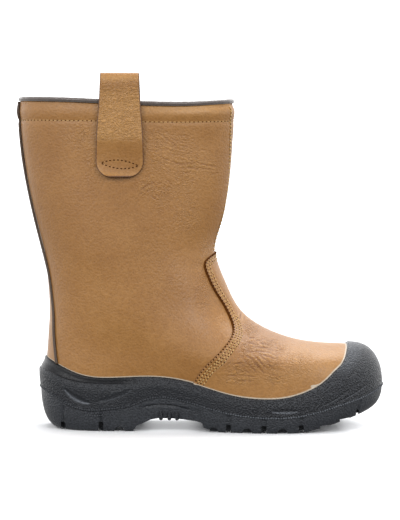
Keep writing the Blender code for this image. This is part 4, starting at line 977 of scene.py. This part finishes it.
def makeOutsole():
    fine = np.linspace(0, fullTurn, 2000)
    fineX = form(downTo["tread"], fine)[:, 0]
    busy = sum(bump(fineX, m, 3.5) for m in [*outsole["channels"], *outsole["waist"]])
    closeness = 1.0 + 2.2 * np.clip(busy, 0, 1)
    turns = spread(0, fullTurn, lambda t: np.interp(t, fine, closeness), outsole["columns"] + 1)[:-1]
    turns[len(turns) // 2] = math.pi
    place = partingDown(turns)
    full = sideThick(form(place, turns)[:, 0]) - outsole["step"]
    top = skin(place, turns, full)
    flat = level(outward(downTo["tread"], turns))
    tread = form(downTo["tread"], turns)
    tread = tread + flat * (sideThick(tread[:, 0]) - outsole["step"] - outsole["tuck"])[:, None]
    share = np.linspace(0, 1, outsole["rows"])[:, None]
    tucked = 1 - np.sqrt(1 - share**2)
    rows = top + (tread - top) * np.stack([tucked, tucked, share], axis=-1)
    x, z = rows[..., 0], rows[..., 2]
    # waist set back between the heel block and the forefoot, with a curved groove along it
    back, front = outsole["waist"]
    waist = smoothStep(back - 0.6, back + 0.6, x) * smoothStep(front + 0.8, front - 0.8, x + 0.25 * z)
    groove = smoothLine(outsole["groove"])(x)
    ends = smoothStep(*outsole["grooveFrom"], x) * smoothStep(*outsole["grooveTo"], x)
    relief = -outsole["waistDeep"] * waist * smoothStep(groove + 1, groove - 1, z)
    relief = relief - outsole["grooveDeep"] * bump(z, groove, outsole["grooveWide"]) * ends
    first, last = outsole["fullPanels"]
    for at, (high, slot, _) in outsole["channels"].items():
        wide = slot / 2 * (1.0 if first < at < last else outsole["panelNarrow"])
        off = np.abs(x - at - outsole["panelLean"] * np.clip(z - high, 0, None) * (at > last))
        panel = outsole["panelDeep"] * smoothStep(wide + 0.3, wide - 0.3, off) * smoothStep(0.06, 0.16, share)
        relief = relief - panel
    rows = rows + flat[None, :, :] * (relief * smoothStep(1.0, 0.94, share))[..., None]
    points = np.stack(soleSeat(turns, 0.0)[::-1] + [*rows])
    piece = addPiece("outsole_tread", points, "laddered", [soleCompound])
    cutter = treadCutters()
    cut = piece.modifiers.new("tread", "BOOLEAN")
    cut.operation, cut.object, cut.use_self = "DIFFERENCE", cutter, True   # the cutters cross each other
    finished = bpy.data.meshes.new_from_object(piece.evaluated_get(bpy.context.evaluated_depsgraph_get()))
    piece.modifiers.clear()
    piece.data = finished
    bpy.data.objects.remove(cutter)
    finished.shade_smooth()
    finished.set_sharp_from_angle(angle=math.radians(outsole["sharp"]))
    setFields(finished, {n: outsole[n] for n in ("polish", "tipWear")})
    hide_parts("outsole")
    # upright ribs on the waist, on both sides, down past the roof of the arch
    paths = []
    heights = np.linspace(outsole["ribTop"], outsole["ribEnd"], 12)
    for rib in outsole["ribs"]:
        for chosen in (np.flatnonzero(np.sin(turns) < 0), np.flatnonzero(np.sin(turns) > 0)):
            column = chosen[np.argmin(np.abs(x[len(x) // 2, chosen] - rib))]
            line = pathAt(rows[::-1, column], heights, z[::-1, column])
            line[:, 0] = rib
            paths.append((line, np.broadcast_to(flat[column], line.shape)))
    addStitches("arch_ribs", paths, outsole["ribBar"], [soleCompound])


makeSoleCup()
print("sole cup moulded")
makeOutsole()
print("outsole moulded")


# Footbed

footbed = {
    "columns": 160, "inward": 2.4, "acrossTop": (0.25, 0.5, 0.75, 0.92),
    "edge": [(1.0, 0.0), (0.2, 0.5), (0.0, 1.6), (0.0, 2.8), (0.4, 3.6), (1.4, 4.0)],   # in and up
}


def makeFootbed():
    turns = evenTurns(footbed["columns"])
    rings = [bedRing(turns, wall + footbed["inward"] + i, wall + gap + r) for i, r in footbed["edge"]]
    edge = rings[-1]
    middle = edge * [1, 0, 1] + np.array([0, 1.0, 0]) * lastCurve(edge[:, 0])[:, None]
    rings += [edge + (middle - edge) * share for share in footbed["acrossTop"]]
    piece = addPiece("felt_footbed", np.stack(rings), "laddered", [felt])
    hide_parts("insole")


makeFootbed()
print("footbed laid in")


# Collar binding and piping

trim = {
    "bindWide": 5.0, "bindTall": 4.0, "lumps": [(0.05, 37, 0), (0.03, 83, 1)],   # size, how many, first turn
    "pipeWide": 2.6, "pipeTall": 1.9, "seat": 0.4,
    "swell": 0.25, "swellAt": (9, 7), "pinch": 0.25, "pinchLong": 1.8,
    # half width of the strip up the back, by height
    "strip": {45: 26.5, 58: 24.0, 73: 21.0, 86: 18.8, 102: 16.3, 115: 14.2, 136: 11.8, 156: 7.8, 195: 4.2,
              295: 3.0},
}
backStrip = smoothLine(trim["strip"])


def makeBinding():
    turns = evenTurns(360)
    middle = skin(0.0, turns, -wall / 2)
    normal = level(outward(0.0, turns))
    lumps = sum(size * np.sin(turns * count + first) for size, count, first in trim["lumps"])
    bow = [(math.cos(a), 0.42 + 0.58 * math.sin(a)) for a in np.linspace(-0.3, math.pi + 0.3, 15)]
    rings = []
    for across, rise in [(0.8, 0.0), *bow, (-0.8, 0.0)]:
        ring = middle + normal * (across * trim["bindWide"] / 2 + lumps * np.sign(across))[:, None]
        ring[:, 2] += gap * 0.5 + trim["bindTall"] * rise + lumps * rise
        rings.append(ring)
    run = np.broadcast_to(runLength(middle), (len(rings), len(turns)))
    piece = addPiece("collar_tape", np.stack(rings), "joined", [tape], fields={"run": run})
    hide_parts("collar_binding")


def backTurn(down, side):               # turn at the edge of the strip up the back
    turns = math.pi - side * np.linspace(0.02, 1.6, 400)
    points = form(down, turns)
    return float(np.interp(backStrip(points[0, 2]), side * points[:, 1], turns))


def makePiping(name, side, node):
    lowest = downTo["capEdge"]
    for _ in range(4):
        lowest = float(edgeDown(backTurn(lowest, side)))
    steps = np.concatenate([np.linspace(0.3, 26, 30), np.linspace(27, lowest + 0.5, 150)])
    turns = np.array([backTurn(d, side) for d in steps])
    beside = unit(form(steps, turns + 0.02) - form(steps, turns - 0.02))
    normal = outward(steps, turns)
    swell = 1 + trim["swell"] * bump(steps, *trim["swellAt"])   # and pinched by the cuff's stitches
    swell = swell - trim["pinch"] * bump(steps, legLeather["cuffHeight"], trim["pinchLong"])
    lines = []
    for a in np.linspace(-0.4, math.pi + 0.4, 13):
        lift = cuffPuff(steps) + trim["seat"] + trim["pipeTall"] * (0.25 + 0.75 * math.sin(a)) * swell
        across = math.cos(a) * trim["pipeWide"] / 2 * swell
        lines.append(form(steps, turns) + normal * lift[:, None] + beside * across[:, None])
    run = np.broadcast_to(steps[:, None], (len(steps), len(lines)))
    piece = addPiece(name, np.stack(lines, axis=1), "capped", [vinyl], fields={"run": run})
    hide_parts(node)


makeBinding()
makePiping("piping_bead_outer", -1, "piping_outer")
makePiping("piping_bead_inner", 1, "piping_inner")
print("collar bound and seams piped")


# Pull loops

pullLoop = {
    "x": {"outer": 73.5, "inner": 71.2}, "side": {"outer": -1, "inner": 1}, "seed": {"outer": 31, "inner": 37},
    "thick": 2.0, "collarZ": 286.0, "topZ": 312.7, "endZ": 222.3, "rise": 73.0, "innerTopZ": 297,
    "innerEndZ": 255.0, "corner": 14.0, "sharp": 60, "edgeRadius": 0.8, "foldTall": 11.0, "out": 3.0, "in": -5.5,
    "insideHalf": 17.0, "skew": 0.17, "skewBelow": 290,
    "widths": {221: 42.4, 256: 40.8, 290: 35.7, 313: 34.0},
    # how far the strap stands off the leather, by height: sewn down at the lens, full over the cuff, end curled
    "stand": {221: 3.8, 224: 2.4, 228: 1.4, 234: 1.3, 240: 1.9, 247: 3.0, 253: 4.1, 258: 4.6, 268: 4.4, 278: 3.8,
              286: 3.4, 294: 3.0},
    "inside": {254: -wall - 1.5, 272: -wall - 1.5, 284: -5.3, 296: -5.5},
    # paler by height: crumpled middle, partly rubbed wear and partly painted highlight; painted highlight on the
    # fold and on the rim of the sewn end
    "rubAndShine": 0.22, "paleFrom": (302, 292), "foldShine": (307.5, 3.0), "rimShine": 0.14, "rimFrom": (246, 232),
    "crumpled": [(250, 259), (311, 303)], "worn": 0.75,
    "lens": {"x0": 57.2, "x1": 89.8, "z0": 234.7, "z1": 232.1, "up": 3.7, "down": 3.6},
    "stitch": {"pitch": 3.3, "length": 2.1, "thick": 1.0, "blunt": 2, "proud": 0.1, "sink": 0.2, "hole": 0},
    "areas": [(73, 285, 16, 9, 30, 40, 6, 0.6, 0.06, 34), (73, 266, 18, 9, -24, 34, 7, 0.6, 0.07, 44),
              (73, 258, 17, 4, -12, 20, 8, 0.6, 0.08, 18), (73, 304, 14, 6, 20, 50, 6, 0.6, 0.05, 12)],
}
loopStand = smoothLine(pullLoop["stand"])


def legHalfWidth(x, z):                 # from the leg's sections, which are the first five
    names = list(bootForm["sections"])[:5]
    heights = [(row[1] + row[3]) / 2 for row in sections[:5]]
    down = np.interp(z, heights[::-1], [downTo[n] for n in names[::-1]])
    row = sectionAt(down)
    along = np.clip((x - row[..., 2]) / (row[..., 0] - row[..., 2]), 0, 1)
    return form(down, np.arccos(2 * along - 1))[..., 1]


def loopPath():                         # strap's middle line: off the leather and height, up, over and down inside
    loop, inner = pullLoop, smoothLine(pullLoop["inside"])
    apart, middle = loop["out"] - loop["in"], (loop["out"] + loop["in"]) / 2
    foldZ = loop["topZ"] - loop["thick"] / 2 - loop["foldTall"]
    path = [(float(loopStand(z)), z) for z in loop["endZ"] + loop["rise"] * np.linspace(0, 1, 130) ** 1.2]
    path += [(middle + apart / 2 * math.cos(a), foldZ + loop["foldTall"] * math.sin(a))
             for a in np.linspace(0, math.pi, 41)]
    return np.array(path + [(float(inner(z)), z) for z in np.linspace(loop["innerTopZ"], loop["innerEndZ"], 24)])


def makePullLoop(which, node):
    loop, path = pullLoop, loopPath()
    mid, side, radius, corner = loop["x"][which], loop["side"][which], loop["edgeRadius"], loop["corner"]
    offLeg, z = path[:, 0], path[:, 1]
    run = unit(np.gradient(path, axis=0))
    away = np.stack([run[:, 1], -run[:, 0]], axis=1)
    inside = offLeg < -1.5
    half = np.interp(z, list(loop["widths"]), list(loop["widths"].values())) / 2
    short = np.clip(corner - (z - loop["endZ"]), 0, corner)
    half = np.where(inside, loop["insideHalf"], half - corner + np.sqrt(corner**2 - short**2)) - radius
    # outline of the strap: share across, face and how far its edge bulges
    flat, edge = np.linspace(-1, 1, 81), np.linspace(0, math.pi, 7)[1:-1]
    outline = [(u, 1.0, 0.0) for u in flat] + [(1.0, math.cos(a), math.sin(a)) for a in edge]
    outline += [(u, -1.0, 0.0) for u in flat[::-8]] + [(-1.0, math.cos(a), -math.sin(a)) for a in edge[::-1]]
    creases = scatteredCreases(loop["areas"], loop["seed"][which])
    fromEnd = runLength(path)
    (low, lowFull), (high, highFull) = loop["crumpled"]
    crumpled = smoothStep(low, lowFull, z) * smoothStep(high, highFull, z) * ~inside
    lines, fields = [], {"crease": [], "fromEdge": [], "worn": []}
    for u, face, bulge in outline:
        x = mid + u * half + radius * bulge
        front = (face > 0.99) * ~inside
        tuck = creaseHeight(x, z, creases) * front
        lean = (loopStand(z + loop["skew"] * (x - mid)) - loopStand(z)) * (z < loop["skewBelow"]) * ~inside
        place = path + away * (face * loop["thick"] / 2 + tuck)[:, None]
        y = legHalfWidth(x, np.minimum(z, loop["collarZ"])) + place[:, 0] + lean
        lines.append(np.stack([x, side * y, place[:, 1]], axis=1))
        toEdge = np.minimum(half * (1 - abs(u)) + 0.55 * (face > 0.99), fromEnd * 0.6)
        # painted highlight: the rim above the sewn end and the fold are drawn paler; the crumpled middle is paler
        # too, partly rubbed wear and partly painted highlight
        rim = smoothStep(3.4, 1.6, toEdge) * smoothStep(0.5, 1.2, toEdge) * smoothStep(*loop["rimFrom"], z)
        rubAndShine = crumpled * smoothStep(*loop["paleFrom"], z) + bump(z, *loop["foldShine"])
        fields["crease"].append(tuck + (loop["rubAndShine"] * rubAndShine + loop["rimShine"] * rim) * front)
        fields["fromEdge"].append(toEdge)
        fields["worn"].append(loop["worn"] * crumpled * front)
    fields = {"overSole": 50.0, **{n: np.stack(values, axis=1) for n, values in fields.items()}}
    lines = np.stack(lines, axis=1)
    piece = addPiece("pull_strap_" + which, lines, "capped", [legHide], fields=fields, sharp=loop["sharp"])
    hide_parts(node)
    # lens of stitches that holds the end of the strap
    lens, share, paths = loop["lens"], np.linspace(0, 1, 60), []
    x = lens["x0"] + (lens["x1"] - lens["x0"]) * share + mid - loop["x"]["outer"]
    for rise in (lens["up"], -lens["down"]):
        height = lens["z0"] + (lens["z1"] - lens["z0"]) * share + rise * 4 * share * (1 - share)
        y = legHalfWidth(x, height) + loopStand(height + loop["skew"] * (x - mid)) + loop["thick"] / 2
        paths.append((np.stack([x, side * y, height], axis=1), np.tile([0.0, side, 0.0], (60, 1))))
    addStitches("strap_stitches_" + which, paths, loop["stitch"], [brownThread, needleHole])


makePullLoop("outer", "pull_loop_outer")
makePullLoop("inner", "pull_loop_inner")
print("pull loops folded")


# Stitches of the cuff and of the front seam

legSeams = {
    "cuff": {"pitch": 3.9, "length": 2.3, "thick": 0.55, "blunt": 2, "proud": 0.2, "sink": 0.25, "hole": 1.1,
             "holeLift": 0.2},
    "front": {"pitch": 3.3, "length": 2.4, "thick": 1.3, "blunt": 2, "proud": 0.4, "sink": 0.4, "hole": 1.2,
              "holeLift": 0.3},
}


def makeLegStitches():
    leg, turns = legLeather, np.linspace(0, fullTurn, 500)
    down = np.full(500, leg["cuffHeight"])
    cuff = down, turns, lapHeight(fromFront(turns) - lapEdge(down))
    down = np.linspace(2, downTo["throat"] - 1, 300)
    front = down, fullTurn - (lapEdge(down) + leg["lapStitches"]) / leg["frontReach"], leg["lapThick"]
    rows = {"cuff_stitches": ("cuff", cuff), "front_seam_stitches": ("front", front)}
    for name, (seam, (down, turn, lap)) in rows.items():
        raised = cuffPuff(down) + cuffRoll(down, form(down, turn)[:, 0]) + lap
        paths = [(skin(down, turn, raised), outward(down, turn))]
        addStitches(name, paths, legSeams[seam], [goldThread, needleHole])


makeLegStitches()
print("cuff and front seam sewn")


# Floor, light and camera

studio = {
    "floor": "#f2f3f5",
    # brightness of the white studio by the height looked at: floor, walls, dim ceiling
    "room": {0.42: 0.3, 0.47: 1.4, 0.66: 1.4, 0.80: 0.45},
    "front": 0.72, "backdrop": 1.6, "right": 0.8,   # dimmer behind the camera and to the right
    # softboxes, large and far so that they are even over the floor: direction, strength, spread, diffuse share
    "lights": {"softbox_left": ((-0.6, -0.80, 0.60), 1.05, 30.0, 1.0),
               "softbox_right": ((0.6, -0.80, 0.60), 1.05, 30.0, 1.0),
               "softbox_top": ((0.23, 0.32, 0.92), 2.7, 60.0, 0.46)},
    # cards that throw light on the floor under the arch and the toe: middle, length, breadth, watts
    "cards": {"card_under_arch": ((-0.026, 0.0, 0.0085), 0.046, 0.090, 0.006),
              "card_under_toe": ((0.152, 0.0, 0.0085), 0.050, 0.080, 0.007)},
    "aim": (0.0002, 0.0, 0.1478), "camera": (0.0002, -1.8, 0.260), "lens": 140.4,
}


def makeStudio():
    material, add, shader = newMaterial("matt_white_paper")   # seamless paper sweep, matt and even
    add(shader, {"Base Color": linear(studio["floor"]), "Roughness": 0.9})
    mesh = bpy.data.meshes.new("paper_floor")
    mesh.from_pydata([(-30, -30, 0), (30, -30, 0), (30, 30, 0), (-30, 30, 0)], [], [(0, 1, 2, 3)])
    mesh.materials.append(material)
    floor = addToScene("paper_floor", mesh)
    floor.visible_diffuse = floor.visible_glossy = False   # no glare from below
    world = bpy.data.worlds.new("white_studio")
    world.use_nodes = True
    add, soft = partial(addNode, world), {"interpolation_type": "SMOOTHSTEP"}
    way = add("SeparateXYZ", {0: add("TexCoord", out="Generated")}).node.outputs
    height = add("MapRange", {"Value": way["Z"], "range": (-1.0, 1.0)})
    room = add("ValToRGB", {"Fac": height, "ramp": {at: (v, v, v, 1) for at, v in studio["room"].items()}})
    dimmer = (-0.7, 0.6, studio["front"], studio["backdrop"])
    behind = add("MapRange", {**soft, "Value": way["Y"], "range": dimmer})
    aside = add("MapRange", {**soft, "Value": way["X"], "range": (0.0, 0.9, 1.0, studio["right"])})
    strength = add("Math", {"operation": "MULTIPLY", 0: behind, 1: aside})
    add(world.node_tree.nodes["Background"], {"Color": room, "Strength": strength})
    bpy.context.scene.world = world
    for name, (source, power, spreadOut, diffuse) in studio["lights"].items():
        light = bpy.data.lights.new(name, "SUN")
        light.energy, light.angle, light.diffuse_factor = power, math.radians(spreadOut), diffuse
        addToScene(name, light).rotation_euler = Vector(source).to_track_quat("Z", "Y").to_euler()
    for name, (middle, length, breadth, watts) in studio["cards"].items():
        light = bpy.data.lights.new(name, "AREA")
        light.shape, light.size, light.size_y, light.energy = "RECTANGLE", length, breadth, watts
        addToScene(name, light).location = middle
    data = bpy.data.cameras.new("side_camera")
    data.sensor_width, data.lens, data.clip_end = 36.0, studio["lens"], 100.0
    camera = addToScene("side_camera", data)
    camera.location = studio["camera"]
    sight = Vector(studio["aim"]) - Vector(studio["camera"])
    camera.rotation_euler = sight.to_track_quat("-Z", "Y").to_euler()
    bpy.context.scene.camera = camera
    bpy.context.scene.view_settings.view_transform = "Standard"


makeStudio()
print("boot dressed")
